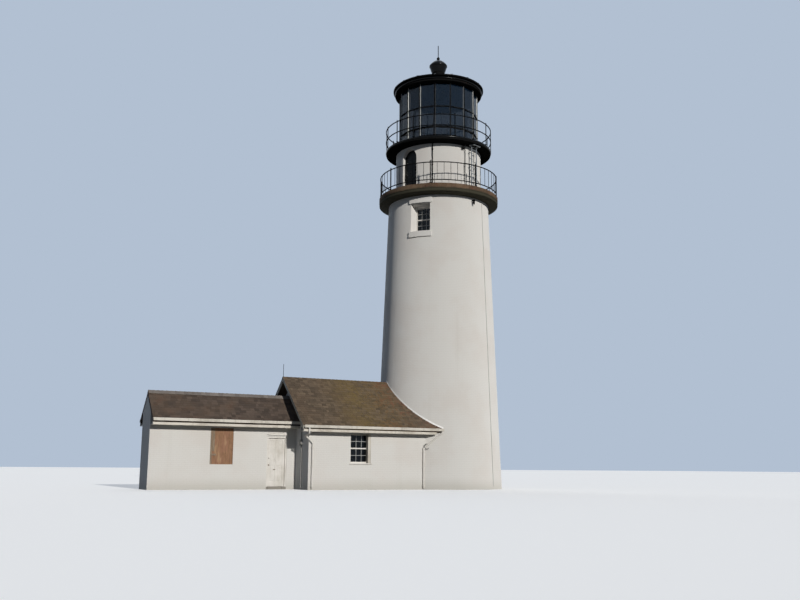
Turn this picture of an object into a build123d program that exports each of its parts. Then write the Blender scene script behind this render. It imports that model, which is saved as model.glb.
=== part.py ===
from build123d import *
import math
import os

# A round white masonry light tower with two galleries and a glazed lantern. A gabled workroom
# leans against its foot, and a lower covered passage leads on from the workroom to a plain end wall.
# Millimetres. The origin is on the tower's axis at ground level, +Z is up, the rooms run along -X
# and the side with the doors and windows faces -Y.

# Tower shaft
SHAFT_BASE_R = 2748.0
SHAFT_TOP_R = 2288.0
SHAFT_TOP_Z = 12640.0
SHAFT_INNER_R = 1700.0
SHAFT_WALL_PARTS = 7
DOOR_SIDE_ANGLE = 60.0
FLOOR_T = 100.0

# Doorways between the rooms
INNER_DOOR_W = 900.0
INNER_DOOR_H = 2000.0

# Window high in the shaft
SHAFT_WINDOW_ANGLE = 220.0
SHAFT_WINDOW_W = 940.0
SHAFT_WINDOW_H = 1290.0
SHAFT_WINDOW_DROP = 1620.0
SHAFT_SASH_W = 720.0
SHAFT_SASH_H = 1100.0
SHAFT_SASH_RISE = 80.0
SHAFT_SASH_DEPTH = 520.0
LINTEL_H = 230.0
SILL_H = 250.0
BAND_SIDE = 60.0
BAND_PROUD = 55.0

# Sashes, the same in every window
SASH_T = 45.0
SASH_BAR = 50.0
GLASS_T = 6.0

# Lower gallery: a stone deck in two courses on a shallow soffit
LOWER_DECK_R = 2731.0
LOWER_DECK_LIP = 245.0
LOWER_DECK_T = 417.0
LOWER_COURSE_INSET = 8.0
LOWER_SOFFIT_RISE = 60.0
RING_PARTS = 16
RING_JOINT = 3.0

# Watch room above the lower gallery
WATCH_R = 1963.0
WATCH_INNER_R = 1700.0
WATCH_H = 2113.0
WATCH_FLOOR_T = 200.0
STAIRWELL_X = 900.0
WATCH_DOOR_ANGLE = 197.8
WATCH_DOOR_W = 833.0
WATCH_DOOR_H = 1960.0
WATCH_DOOR_DEPTH = 190.0
WATCH_DOOR_T = 50.0

# Railings: the lower one has stout posts with thin bars between, the upper one posts alone
LOWER_RAIL_INSET = 51.0
LOWER_RAIL_H = 950.0
LOWER_FOOT_RAIL_H = 150.0
LOWER_BALUSTERS = 6
UPPER_RAIL_INSET = 20.0
UPPER_RAIL_H = 965.0
UPPER_MID_RAIL_H = 460.0
LOWER_POSTS = 8
UPPER_POSTS = 16
LOWER_POST_START_ANGLE = 232.6
POST_SIDE = 40.0
POST_CAP = 45.0
UPPER_POST_SIDE = 30.0
RAIL_SIDE = 34.0
BALUSTER_SIDE = 16.0
RAIL_JOINT = 1.0

# Upper gallery: an iron deck
UPPER_DECK_R = 2459.0
UPPER_DECK_T = 170.0

# Ladder between the galleries
LADDER_ANGLE = 288.2
LADDER_OFF_WALL = 187.0
LADDER_W = 335.0
STILE_W = 45.0
STILE_T = 25.0
RUNG_D = 24.0
RUNG_STEP = 280.0
FIRST_RUNG_H = 224.0

# The wide and the thin pipe on the watch room's wall
WIDE_PIPE_ANGLE = 232.6
WIDE_PIPE_D = 42.0
THIN_PIPE_ANGLE = 277.0
THIN_PIPE_D = 45.0
PIPE_GAP = 12.0

# Lantern
LANTERN_R = 1848.0
LANTERN_SIDES = 16
LANTERN_START_ANGLE = 235.3
PARAPET_H = 240.0
PARAPET_T = 90.0
GLASS_H = 2485.0
MULLION_W = 45.0
MULLION_D = 90.0
PANE_T = 10.0
PANE_INSET = 40.0
SILL_BAR_UP = 390.0
SILL_BAR_H = 75.0
MIDDLE_BAR_UP = 1370.0
MIDDLE_BAR_H = 55.0
GLAZING_BAR_PROUD = 25.0

# Lantern roof: a cornice of three mouldings, a low cone and a mushroom-shaped ventilator
ROOF_RIM_R = 2119.0
CORNICE_H = 285.0
CORNICE_INNER_R = 1720.0
CORNICE_FOOT_R = 1890.0
CORNICE_LOW_R = 2035.0
CORNICE_LOW_FROM = 25.0
CORNICE_LOW_TO = 85.0
CORNICE_MIDDLE_R = 2050.0
CORNICE_MIDDLE_FROM = 135.0
CORNICE_MIDDLE_TO = 200.0
CORNICE_RIM_FROM = 235.0
ROOF_SHELL_T = 40.0
ROOF_EDGE_T = 10.0
ROOF_NECK_R = 340.0
ROOF_RISE = 750.0
VENT_NECK_R = 300.0
VENT_NECK_H = 240.0
VENT_RIM_R = 420.0
VENT_RIM_H = 530.0
VENT_RIM_T = 60.0
VENT_DOME_R = 350.0
VENT_DOME_H = 700.0
VENT_SHOULDER_R = 214.0
VENT_SHOULDER_H = 810.0
VENT_STEM_R = 60.0
VENT_STEM_H = 890.0
FINIAL_R = 75.0
FINIAL_H = 960.0
SPIKE_R = 18.0
SPIKE_H = 663.0

# Small fittings of the tower
CONDUCTOR_ANGLE = 297.0
CONDUCTOR_D = 22.0
CONDUCTOR_TOP_DROP = 80.0
CONDUCTOR_FOOT_Z = 120.0
LAMP_R = 45.0
LAMP_L = 130.0
LAMP_ARM_D = 30.0
SHAFT_LAMP_ANGLE = 280.5
SHAFT_LAMP_DROP = 140.0
DECK_LAMP_ANGLE = 273.0
DECK_LAMP_AT_R = 2050.0
DECK_LAMP_DROP = 200.0
LAMP_SINK = 5.0

# Workroom
ROOM_X = -6949.0
ROOM_HALF_W = 2008.0
ROOM_WALL_T = 300.0
ROOM_RIDGE_Z = 4486.0
ROOM_EAVE_Z = 2468.0
ROOM_EAVE_Y = 2397.0
ROOM_RAKE_OUT = 393.0
ROOF_T = 120.0
GUTTER_END_GAP = 11.0
FASCIA_SHORT = 300.0
RAKE_BOARD_T = 30.0
RAKE_BOARD_H = 130.0
ROOM_WINDOW_IN = 2231.0
ROOM_WINDOW_W = 884.0
ROOM_WINDOW_Z0 = 1040.0
ROOM_WINDOW_Z1 = 2190.0
ROOM_WINDOW_DEPTH = 200.0

RIDGE_ROD_R = 9.0
RIDGE_ROD_H = 540.0
RIDGE_ROD_INSET = 15.0

# Covered passage
PASSAGE_L = 5809.0
PASSAGE_MID_Y = 0.0
PASSAGE_HALF_W = 660.0
PASSAGE_WALL_T = 150.0
PASSAGE_RIDGE_Z = 3685.0
PASSAGE_EAVE_Z = 2640.0
PASSAGE_EAVE_Y = 1095.0
PASSAGE_INNER_DOOR_W = 800.0
BOARDED_OUT = 3037.0
BOARDED_W = 903.0
BOARDED_Z0 = 950.0
BOARDED_Z1 = 2330.0
BOARD_T = 25.0
BOARD_INSET = 25.0

# Ground-level door of the passage: it opens inward on hinges at its right edge
DOOR_OUT = 796.0
DOOR_OPENING_W = 830.0
DOOR_OPENING_H = 1951.0
DOOR_T = 45.0
DOOR_GAP = 8.0
FRAME_W = 42.0
FRAME_D = 110.0
FRAME_INSET = 20.0
STOP_LAP = 14.0
STOP_GAP = 6.0
HINGE_R = 11.0
PIN_R = 5.0
PIN_PLAY = 0.1
HINGE_H = 120.0
HINGE_HEIGHTS = (220.0, 900.0, 1580.0)
HINGE_LEAF_T = 3.0
HINGE_LEAF_W = 38.0
KNUCKLE_GAP = 1.0
KNOB_R = 28.0
KNOB_NECK_R = 9.0
KNOB_REACH = 50.0
KNOB_EDGE = 65.0
KNOB_H = 840.0
LOCK_H = 1100.0
LOCK_R = 22.0
LOCK_REACH = 12.0
HOOD_W = 800.0
HOOD_END_H = 85.0
HOOD_RISE = 100.0
HOOD_PROUD = 45.0

# Eaves, gutters and pipes of both rooms
FASCIA_T = 25.0
EAVE_BOX_H = 95.0
GUTTER_W = 100.0
GUTTER_H = 105.0
GUTTER_T = 5.0
DOWNPIPE_D = 70.0
PIPE_OFF_WALL = 55.0
PIPE_BEND_R = 70.0
PIPE_FOOT_Z = 60.0
PIPE_ELBOW_DROP = 100.0
PIPE_BACK_DROP = 100.0
PIPE_SIDE_DROP = 280.0
LEFT_OUTLET_INSET = 242.0
LEFT_PIPE_INSET = 149.0
RIGHT_OUTLET_INSET = 65.0
RIGHT_ELBOW_DROP = 70.0
RIGHT_PIPE_DROP = 690.0
PIPE_TOWER_GAP = 15.0
CONDUIT_D = 50.0
CONDUIT_Y = -1300.0
CONDUIT_TOP_Z = 2420.0
METER_Z = 1700.0
METER_W = 130.0
METER_H = 240.0
METER_T = 80.0
FLASHING_T = 12.0
FLASHING_H = 60.0

# Values worked out from the sizes above
SHAFT_WINDOW_SILL_Z = SHAFT_TOP_Z - SHAFT_WINDOW_DROP
CONDUCTOR_TOP_Z = SHAFT_TOP_Z - CONDUCTOR_TOP_DROP
SHAFT_LAMP_Z = SHAFT_TOP_Z - SHAFT_LAMP_DROP
LOWER_DECK_Z = SHAFT_TOP_Z + LOWER_DECK_T
LOWER_RAIL_R = LOWER_DECK_R - LOWER_RAIL_INSET
UPPER_RAIL_R = UPPER_DECK_R - UPPER_RAIL_INSET
LADDER_R = WATCH_R + LADDER_OFF_WALL
UPPER_FLOOR_Z = LOWER_DECK_Z + WATCH_H
UPPER_DECK_Z = UPPER_FLOOR_Z + UPPER_DECK_T
PARAPET_Z = UPPER_DECK_Z + PARAPET_H
SILL_BAR_Z = PARAPET_Z + SILL_BAR_UP
MIDDLE_BAR_Z = PARAPET_Z + MIDDLE_BAR_UP
GLASS_TOP_Z = PARAPET_Z + GLASS_H
CORNICE_TOP_Z = GLASS_TOP_Z + CORNICE_H
ROOF_NECK_Z = CORNICE_TOP_Z + ROOF_RISE
INNER_DOOR_TOP_Z = FLOOR_T + INNER_DOOR_H
ROOM_RAKE_X = ROOM_X - ROOM_RAKE_OUT
ROOM_WINDOW_X = ROOM_X + ROOM_WINDOW_IN
PASSAGE_X = ROOM_X - PASSAGE_L
BOARDED_X = ROOM_X - BOARDED_OUT
DOOR_X = ROOM_X - DOOR_OUT
ROOM_SLOPE = (ROOM_RIDGE_Z - ROOM_EAVE_Z) / ROOM_EAVE_Y
PASSAGE_SLOPE = (PASSAGE_RIDGE_Z - PASSAGE_EAVE_Z) / PASSAGE_EAVE_Y


def save(name, *solids):
    """Write one sub-part as parts/NAME.step."""
    shape = solids[0] if len(solids) == 1 else Compound(children=list(solids))
    shape.label = name
    export_step(shape, f"parts/{name}.step")


def box(x0, x1, y0, y1, z0, z1):
    """A block between two corners."""
    block = Box(abs(x1 - x0), abs(y1 - y0), abs(z1 - z0))
    return Pos((x0 + x1) / 2, (y0 + y1) / 2, (z0 + z1) / 2) * block


def ring_sector(points, start, end):
    """A profile of (radius, z) points turned about the tower's axis from one angle to another."""
    outline = make_face(Polyline(*[(r, 0, z) for r, z in points], close=True))
    return Rot(0, 0, start) * revolve(outline, Axis.Z, revolution_arc=end - start)


def ring(points):
    """The same profile turned all the way round."""
    outline = make_face(Polyline(*[(r, 0, z) for r, z in points], close=True))
    return revolve(outline, Axis.Z, revolution_arc=360)


def ring_blocks(points, start):
    """A profile turned round in equal blocks with narrow open joints, the first joint at start."""
    inner_r = min(r for r, z in points)
    half_joint = math.degrees(RING_JOINT / 2 / inner_r)
    step = 360 / RING_PARTS
    return [
        ring_sector(points, start + k * step + half_joint, start + (k + 1) * step - half_joint)
        for k in range(RING_PARTS)
    ]


def upright_bar(x, y, z, height, radius):
    """An upright round bar standing on z."""
    return Pos(x, y, z) * Cylinder(radius, height, align=(Align.CENTER, Align.CENTER, Align.MIN))


def along_x(points, x0, x1):
    """A section of (y, z) points run along X."""
    outline = make_face(Polyline(*[(x0, y, z) for y, z in points], close=True))
    return extrude(outline, x1 - x0, dir=(1, 0, 0))


def at_angle(angle, shape):
    """A shape made out along +X, turned to an angle round the tower."""
    return Rot(0, 0, angle) * shape


def shaft_radius(z):
    """The outer radius of the shaft at a height."""
    return SHAFT_BASE_R + (SHAFT_TOP_R - SHAFT_BASE_R) * z / SHAFT_TOP_Z


def shaft_solid():
    """The shaft's outer cone as one solid, for cutting what meets it."""
    return Cone(SHAFT_BASE_R, SHAFT_TOP_R, SHAFT_TOP_Z, align=(Align.CENTER, Align.CENTER, Align.MIN))


def gutter_end_x():
    """Where the workroom's gutters stop, just clear of the shaft."""
    shaft_r = shaft_radius(ROOM_EAVE_Z)
    return -math.sqrt(shaft_r ** 2 - ROOM_EAVE_Y ** 2) - GUTTER_END_GAP


def tower_floor():
    """The ground floor of the tower, with a tongue through the doorway to the workroom."""
    disc = Cylinder(SHAFT_INNER_R, FLOOR_T, align=(Align.CENTER, Align.CENTER, Align.MIN))
    tongue = box(-SHAFT_BASE_R, 0, -INNER_DOOR_W / 2, INNER_DOOR_W / 2, 0, FLOOR_T) & shaft_solid()
    save("tower_floor", disc + tongue)


def shaft_window_cut():
    """The window's splayed recess and the hole behind it, out along +X."""
    face_x = shaft_radius(SHAFT_WINDOW_SILL_Z) + BAND_PROUD
    sash_x = face_x - BAND_PROUD - SHAFT_SASH_DEPTH
    sash_z = SHAFT_WINDOW_SILL_Z + SHAFT_SASH_RISE
    outer = Pos(face_x, 0, SHAFT_WINDOW_SILL_Z + SHAFT_WINDOW_H / 2) * Rot(0, 90, 0)
    inner = Pos(sash_x, 0, sash_z + SHAFT_SASH_H / 2) * Rot(0, 90, 0)
    back = inner * Rectangle(SHAFT_SASH_H, SHAFT_SASH_W)
    front = outer * Rectangle(SHAFT_WINDOW_H, SHAFT_WINDOW_W)
    recess = loft([back, front])
    half = SHAFT_SASH_W / 2
    through = box(SHAFT_INNER_R - SASH_BAR, sash_x, -half, half, sash_z, sash_z + SHAFT_SASH_H)
    return at_angle(SHAFT_WINDOW_ANGLE, recess + through)


def tower_walls():
    """The masonry shaft in upright parts, one of them over the doorway to the workroom."""
    profile = [
        (SHAFT_INNER_R, 0), (SHAFT_BASE_R, 0), (SHAFT_TOP_R, SHAFT_TOP_Z), (SHAFT_INNER_R, SHAFT_TOP_Z)
    ]
    half_door = INNER_DOOR_W / 2
    doorway = box(-SHAFT_BASE_R, -1, -half_door, half_door, 0, SHAFT_TOP_Z)
    over_door = box(-SHAFT_BASE_R, -1, -half_door, half_door, INNER_DOOR_TOP_Z, SHAFT_TOP_Z)
    first, last = 180 - DOOR_SIDE_ANGLE, 180 + DOOR_SIDE_ANGLE
    save("tower_wall_over_door", ring_sector(profile, first, last) & over_door)
    starts = [first, 180]
    step = (360 - 2 * DOOR_SIDE_ANGLE) / (SHAFT_WALL_PARTS - 2)
    starts += [last + step * k for k in range(SHAFT_WALL_PARTS - 2)]
    for number, start in enumerate(starts, 1):
        end = start + (DOOR_SIDE_ANGLE if number <= 2 else step)
        part = ring_sector(profile, start, end)
        if number <= 2:
            part = part - doorway
        if start < SHAFT_WINDOW_ANGLE < end:
            part = part - shaft_window_cut()
        save(f"tower_wall_{number}", part)


def sash(width, height):
    """A window frame in the YZ plane about the origin, its front at x = 0, and its glass."""
    frame = box(-SASH_T, 0, -width / 2, width / 2, -height / 2, height / 2)
    light_w = width / 2 - SASH_BAR
    light_h = height / 2 - SASH_BAR
    meeting = SASH_BAR / 2
    frame = frame - box(-SASH_T, 0, -light_w, light_w, meeting, light_h)
    frame = frame - box(-SASH_T, 0, -light_w, light_w, -light_h, -meeting)
    middle = -(SASH_T + GLASS_T) / 2
    panes = [
        box(middle, middle + GLASS_T, -light_w, light_w, meeting, light_h),
        box(middle, middle + GLASS_T, -light_w, light_w, -light_h, -meeting),
    ]
    return frame, panes


def shaft_window():
    """The sash deep in the shaft's window and the raised lintel and sill bands outside."""
    sash_x = shaft_radius(SHAFT_WINDOW_SILL_Z) - SHAFT_SASH_DEPTH
    mid_z = SHAFT_WINDOW_SILL_Z + SHAFT_SASH_RISE + SHAFT_SASH_H / 2
    frame, panes = sash(SHAFT_SASH_W, SHAFT_SASH_H)
    place = Rot(0, 0, SHAFT_WINDOW_ANGLE) * Pos(sash_x, 0, mid_z)
    save("shaft_window_sash", place * frame)
    half = SHAFT_WINDOW_W / 2 + BAND_SIDE
    bands = []
    head_z = SHAFT_WINDOW_SILL_Z + SHAFT_WINDOW_H
    for z0, z1 in ((head_z, head_z + LINTEL_H), (SHAFT_WINDOW_SILL_Z - SILL_H, SHAFT_WINDOW_SILL_Z)):
        low_r, high_r = shaft_radius(z0), shaft_radius(z1)
        band = ring([(low_r, z0), (low_r + BAND_PROUD, z0), (high_r + BAND_PROUD, z1), (high_r, z1)])
        bands.append(at_angle(SHAFT_WINDOW_ANGLE, band & box(0, SHAFT_BASE_R, -half, half, z0, z1)))
    save("shaft_window_surround", *bands)
    return [place * pane for pane in panes]


def lower_gallery():
    """The stone deck, made of curved blocks with open joints, and its railing."""
    lip_z = LOWER_DECK_Z - LOWER_DECK_LIP
    course_r = LOWER_DECK_R - LOWER_COURSE_INSET
    profile = [
        (SHAFT_INNER_R, SHAFT_TOP_Z), (SHAFT_TOP_R, SHAFT_TOP_Z), (course_r, SHAFT_TOP_Z + LOWER_SOFFIT_RISE),
        (course_r, lip_z), (LOWER_DECK_R, lip_z), (LOWER_DECK_R, LOWER_DECK_Z), (SHAFT_INNER_R, LOWER_DECK_Z),
    ]
    save("lower_gallery_deck", *ring_blocks(profile, 0.0))
    heights = (LOWER_RAIL_H, LOWER_FOOT_RAIL_H)
    save("lower_gallery_railing", *railing(
        LOWER_DECK_Z, LOWER_RAIL_R, heights, LOWER_POSTS, LOWER_POST_START_ANGLE, POST_SIDE, LOWER_BALUSTERS
    ))


def railing(deck_z, radius, rail_heights, posts, start, post_side, balusters):
    """The bays of a round railing, each with its post, two rails and upright bars."""
    step = 360 / posts
    half = RAIL_SIDE / 2
    post = post_side / 2
    post_half = math.degrees((post + RAIL_JOINT) / radius)
    high, low = rail_heights
    bays = []
    for k in range(posts):
        turn = start + k * step
        upright = box(radius - post, radius + post, -post, post, deck_z, deck_z + high + POST_CAP)
        bay = at_angle(turn, upright)
        for rail_z in (deck_z + high, deck_z + low):
            section = [
                (radius - half, rail_z - half), (radius + half, rail_z - half),
                (radius + half, rail_z + half), (radius - half, rail_z + half),
            ]
            bay = bay + ring_sector(section, turn, turn + step - post_half)
        bar = BALUSTER_SIDE / 2
        for b in range(balusters):
            angle = turn + step * (b + 1) / (balusters + 1)
            baluster = box(radius - bar, radius + bar, -bar, bar, deck_z + low, deck_z + high)
            bay = bay + at_angle(angle, baluster)
        bays.append(bay)
    return bays


def arch_cut(width, height, x0, x1):
    """A round-headed doorway standing on z = 0, cut from x0 to x1."""
    spring = height - width / 2
    straight = box(x0, x1, -width / 2, width / 2, 0, spring)
    head = Pos((x0 + x1) / 2, 0, spring) * Rot(0, 90, 0) * Cylinder(width / 2, x1 - x0)
    return straight + head


def watch_room():
    """The drum above the lower gallery in upright parts, its floor and its arched door."""
    profile = [
        (WATCH_INNER_R, LOWER_DECK_Z), (WATCH_R, LOWER_DECK_Z),
        (WATCH_R, UPPER_FLOOR_Z), (WATCH_INNER_R, UPPER_FLOOR_Z),
    ]
    cut = arch_cut(WATCH_DOOR_W, WATCH_DOOR_H, STAIRWELL_X, LOWER_DECK_R)
    doorway = at_angle(WATCH_DOOR_ANGLE, Pos(0, 0, LOWER_DECK_Z) * cut)
    parts = ring_blocks(profile, WATCH_DOOR_ANGLE - 180 / RING_PARTS)
    save("watch_room_wall", *[part - doorway for part in parts])

    floor_z = LOWER_DECK_Z - WATCH_FLOOR_T
    disc = upright_bar(0, 0, floor_z, WATCH_FLOOR_T, WATCH_INNER_R)
    well = box(STAIRWELL_X, WATCH_R, -WATCH_R, WATCH_R, floor_z, LOWER_DECK_Z)
    save("watch_room_floor", disc - well)

    door_x = WATCH_R - WATCH_DOOR_DEPTH
    leaf = arch_cut(WATCH_DOOR_W, WATCH_DOOR_H, door_x - WATCH_DOOR_T, door_x)
    save("watch_room_door", at_angle(WATCH_DOOR_ANGLE, Pos(0, 0, LOWER_DECK_Z) * leaf))


def watch_room_ladder():
    """The ladder that stands on the lower gallery and reaches the underside of the upper one."""
    ladder = None
    for y in (-LADDER_W / 2, LADDER_W / 2):
        stile = Pos(LADDER_R, y, LOWER_DECK_Z + WATCH_H / 2) * Box(STILE_T, STILE_W, WATCH_H)
        ladder = stile if ladder is None else ladder + stile
    rungs = int((WATCH_H - FIRST_RUNG_H) / RUNG_STEP)
    for k in range(rungs + 1):
        z = LOWER_DECK_Z + FIRST_RUNG_H + RUNG_STEP * k
        ladder = ladder + Pos(LADDER_R, 0, z) * Rot(90, 0, 0) * Cylinder(RUNG_D / 2, LADDER_W)
    save("watch_room_ladder", at_angle(LADDER_ANGLE, ladder))


def watch_room_pipes():
    """Two upright pipes on the watch room's wall, standing on the lower deck."""
    pipes = []
    for angle, diameter in ((WIDE_PIPE_ANGLE, WIDE_PIPE_D), (THIN_PIPE_ANGLE, THIN_PIPE_D)):
        x = WATCH_R + PIPE_GAP + diameter / 2
        pipes.append(at_angle(angle, upright_bar(x, 0, LOWER_DECK_Z, WATCH_H, diameter / 2)))
    save("watch_room_pipes", *pipes)


def upper_gallery():
    """The iron deck in curved plates, the lantern's floor inside it, and its railing."""
    profile = [
        (WATCH_INNER_R, UPPER_FLOOR_Z), (UPPER_DECK_R, UPPER_FLOOR_Z),
        (UPPER_DECK_R, UPPER_DECK_Z), (WATCH_INNER_R, UPPER_DECK_Z),
    ]
    save("upper_gallery_deck", *ring_blocks(profile, 0.0))
    heights = (UPPER_RAIL_H, UPPER_MID_RAIL_H)
    save("upper_gallery_railing", *railing(
        UPPER_DECK_Z, UPPER_RAIL_R, heights, UPPER_POSTS, LANTERN_START_ANGLE, UPPER_POST_SIDE, 0
    ))
    disc = upright_bar(0, 0, UPPER_FLOOR_Z, UPPER_DECK_T, WATCH_INNER_R)
    well = box(STAIRWELL_X, WATCH_R, -WATCH_R, WATCH_R, UPPER_FLOOR_Z, UPPER_DECK_Z)
    save("lantern_floor", disc - well)


def lantern():
    """The parapet, the mullions with the panes between them, and the bars across the panes."""
    step = 360 / LANTERN_SIDES
    parapet = [
        (LANTERN_R - PARAPET_T, UPPER_DECK_Z), (LANTERN_R, UPPER_DECK_Z),
        (LANTERN_R, PARAPET_Z), (LANTERN_R - PARAPET_T, PARAPET_Z),
    ]
    save("lantern_parapet", *ring_blocks(parapet, LANTERN_START_ANGLE))

    half_w = MULLION_W / 2
    mullion = box(LANTERN_R - MULLION_D, LANTERN_R, -half_w, half_w, PARAPET_Z, GLASS_TOP_Z)
    turns = [LANTERN_START_ANGLE + step * k for k in range(LANTERN_SIDES)]
    save("lantern_mullions", *[at_angle(turn, mullion) for turn in turns])

    half_step = math.radians(step / 2)
    pane_x = (LANTERN_R - PANE_INSET) * math.cos(half_step)
    pane_half = (LANTERN_R - MULLION_D) * math.sin(half_step) - half_w
    pane = box(pane_x - PANE_T, pane_x, -pane_half, pane_half, PARAPET_Z, GLASS_TOP_Z)
    save("lantern_glass", *[at_angle(turn + step / 2, pane) for turn in turns])
    bars = []
    for mid_z, height in ((SILL_BAR_Z, SILL_BAR_H), (MIDDLE_BAR_Z, MIDDLE_BAR_H)):
        z0, z1 = mid_z - height / 2, mid_z + height / 2
        bar = box(pane_x, pane_x + GLAZING_BAR_PROUD, -pane_half, pane_half, z0, z1)
        bars += [at_angle(turn + step / 2, bar) for turn in turns]
    save("lantern_glazing_bars", *bars)


def lantern_roof():
    """The cornice of three mouldings, the low hollow cone, the ventilator and the spike."""
    foot = GLASS_TOP_Z
    cornice = [
        (CORNICE_INNER_R, foot), (CORNICE_FOOT_R, foot), (CORNICE_LOW_R, foot + CORNICE_LOW_FROM),
        (CORNICE_LOW_R, foot + CORNICE_LOW_TO), (CORNICE_MIDDLE_R, foot + CORNICE_MIDDLE_FROM),
        (CORNICE_MIDDLE_R, foot + CORNICE_MIDDLE_TO), (ROOF_RIM_R, foot + CORNICE_RIM_FROM),
        (ROOF_RIM_R, CORNICE_TOP_Z), (CORNICE_INNER_R, CORNICE_TOP_Z),
    ]
    save("lantern_cornice", *ring_blocks(cornice, 0.0))

    slope = (ROOF_NECK_Z - CORNICE_TOP_Z) / (ROOF_RIM_R - ROOF_NECK_R)
    edge_r = ROOF_RIM_R - 2 * ROOF_SHELL_T / slope
    shell_z = ROOF_NECK_Z - ROOF_SHELL_T
    save("lantern_roof", ring([
        (0, shell_z), (ROOF_NECK_R, shell_z), (edge_r, CORNICE_TOP_Z), (ROOF_RIM_R, CORNICE_TOP_Z),
        (ROOF_RIM_R, CORNICE_TOP_Z + ROOF_EDGE_T), (ROOF_NECK_R, ROOF_NECK_Z), (0, ROOF_NECK_Z),
    ]))

    outline = [
        (0, 0), (ROOF_NECK_R, 0), (VENT_NECK_R, ROOF_EDGE_T), (VENT_NECK_R, VENT_NECK_H),
        (VENT_RIM_R, VENT_RIM_H), (VENT_RIM_R, VENT_RIM_H + VENT_RIM_T), (VENT_DOME_R, VENT_DOME_H),
        (VENT_SHOULDER_R, VENT_SHOULDER_H), (VENT_STEM_R, VENT_STEM_H), (0, VENT_STEM_H),
    ]
    body = ring([(r, ROOF_NECK_Z + h) for r, h in outline])
    finial_z = ROOF_NECK_Z + FINIAL_H
    finial = Pos(0, 0, finial_z) * Sphere(FINIAL_R)
    save("roof_ventilator", body + finial)
    save("lightning_rod", upright_bar(0, 0, finial_z, SPIKE_H, SPIKE_R) - finial)


def shaft_fittings():
    """The lightning conductor down the shaft and the small lamp under the lower gallery."""
    foot_r, top_r = shaft_radius(CONDUCTOR_FOOT_Z), shaft_radius(CONDUCTOR_TOP_Z)
    strip = [(foot_r, CONDUCTOR_FOOT_Z), (foot_r + CONDUCTOR_D, CONDUCTOR_FOOT_Z)]
    strip += [(top_r + CONDUCTOR_D, CONDUCTOR_TOP_Z), (top_r, CONDUCTOR_TOP_Z)]
    half = math.degrees(CONDUCTOR_D / 2 / SHAFT_TOP_R)
    save("lightning_conductor", ring_sector(strip, CONDUCTOR_ANGLE - half, CONDUCTOR_ANGLE + half))

    wall_r = shaft_radius(SHAFT_LAMP_Z)
    reach = wall_r + LAMP_L
    half_arm = LAMP_ARM_D / 2
    arm = box(wall_r - LAMP_SINK, reach, -half_arm, half_arm, SHAFT_LAMP_Z, SHAFT_LAMP_Z + LAMP_ARM_D)
    body = Pos(reach, 0, SHAFT_LAMP_Z - LAMP_L / 2) * Cylinder(LAMP_R, LAMP_L)
    on_shaft = (arm + body) - shaft_solid()
    at_x, head_z = DECK_LAMP_AT_R, UPPER_FLOOR_Z - DECK_LAMP_DROP
    stem = box(at_x - half_arm, at_x + half_arm, -half_arm, half_arm, head_z, UPPER_FLOOR_Z)
    head = Pos(at_x, 0, head_z) * Rot(90, 0, 0) * Cylinder(LAMP_R, LAMP_L)
    save("gallery_lamps", at_angle(SHAFT_LAMP_ANGLE, on_shaft), at_angle(DECK_LAMP_ANGLE, stem + head))


def roof_top(y, mid_y, ridge_z, slope):
    """The height of a gabled roof's top face at a place across it."""
    return ridge_z - slope * abs(y - mid_y)


def roof_under(y, mid_y, ridge_z, slope):
    """The height of the same roof's underside."""
    return roof_top(y, mid_y, ridge_z, slope) - ROOF_T * math.sqrt(1 + slope * slope)


def roof_slab(side, mid_y, eave_y, ridge_z, slope, x0, x1):
    """One slope of a gabled roof, side -1 at the front and +1 at the back."""
    eave = mid_y + side * eave_y
    args = (mid_y, ridge_z, slope)
    section = [
        (mid_y, roof_under(mid_y, *args)), (mid_y, ridge_z),
        (eave, roof_top(eave, *args)), (eave, roof_under(eave, *args)),
    ]
    return along_x(section, x0, x1)


def side_wall(side, mid_y, half_w, thick, ridge_z, slope, x0, x1):
    """A long wall that runs up to the underside of the roof."""
    outer, inner = mid_y + side * half_w, mid_y + side * (half_w - thick)
    args = (mid_y, ridge_z, slope)
    section = [(outer, 0), (inner, 0), (inner, roof_under(inner, *args)), (outer, roof_under(outer, *args))]
    return along_x(section, x0, x1)


def gutter_run(side, mid_y, eave_y, half_w, ridge_z, slope, x0, x1, board_x1):
    """The boxed eave, up to board_x1, and the gutter along it, joined in one painted solid."""
    eave = mid_y + side * eave_y
    wall = mid_y + side * half_w
    args = (mid_y, ridge_z, slope)
    under = roof_under(eave, *args)
    low = under - EAVE_BOX_H
    inner_edge = eave - side * FASCIA_T
    board_top = roof_under(inner_edge, *args)
    fascia = along_x([(eave, low), (inner_edge, low), (inner_edge, board_top), (eave, under)], x0, board_x1)
    soffit_top = low + FASCIA_T
    soffit = along_x(
        [(inner_edge, low), (wall, low), (wall, soffit_top), (inner_edge, soffit_top)], x0, board_x1
    )
    top = roof_top(eave, *args) - GUTTER_T
    outer = eave + side * GUTTER_W
    base = top - GUTTER_H
    lip, back = outer - side * GUTTER_T, eave + side * GUTTER_T
    channel = [
        (eave, base), (outer, base), (outer, top), (lip, top), (lip, base + GUTTER_T),
        (back, base + GUTTER_T), (back, top), (eave, top),
    ]
    return fascia + soffit + along_x(channel, x0, x1)


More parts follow.
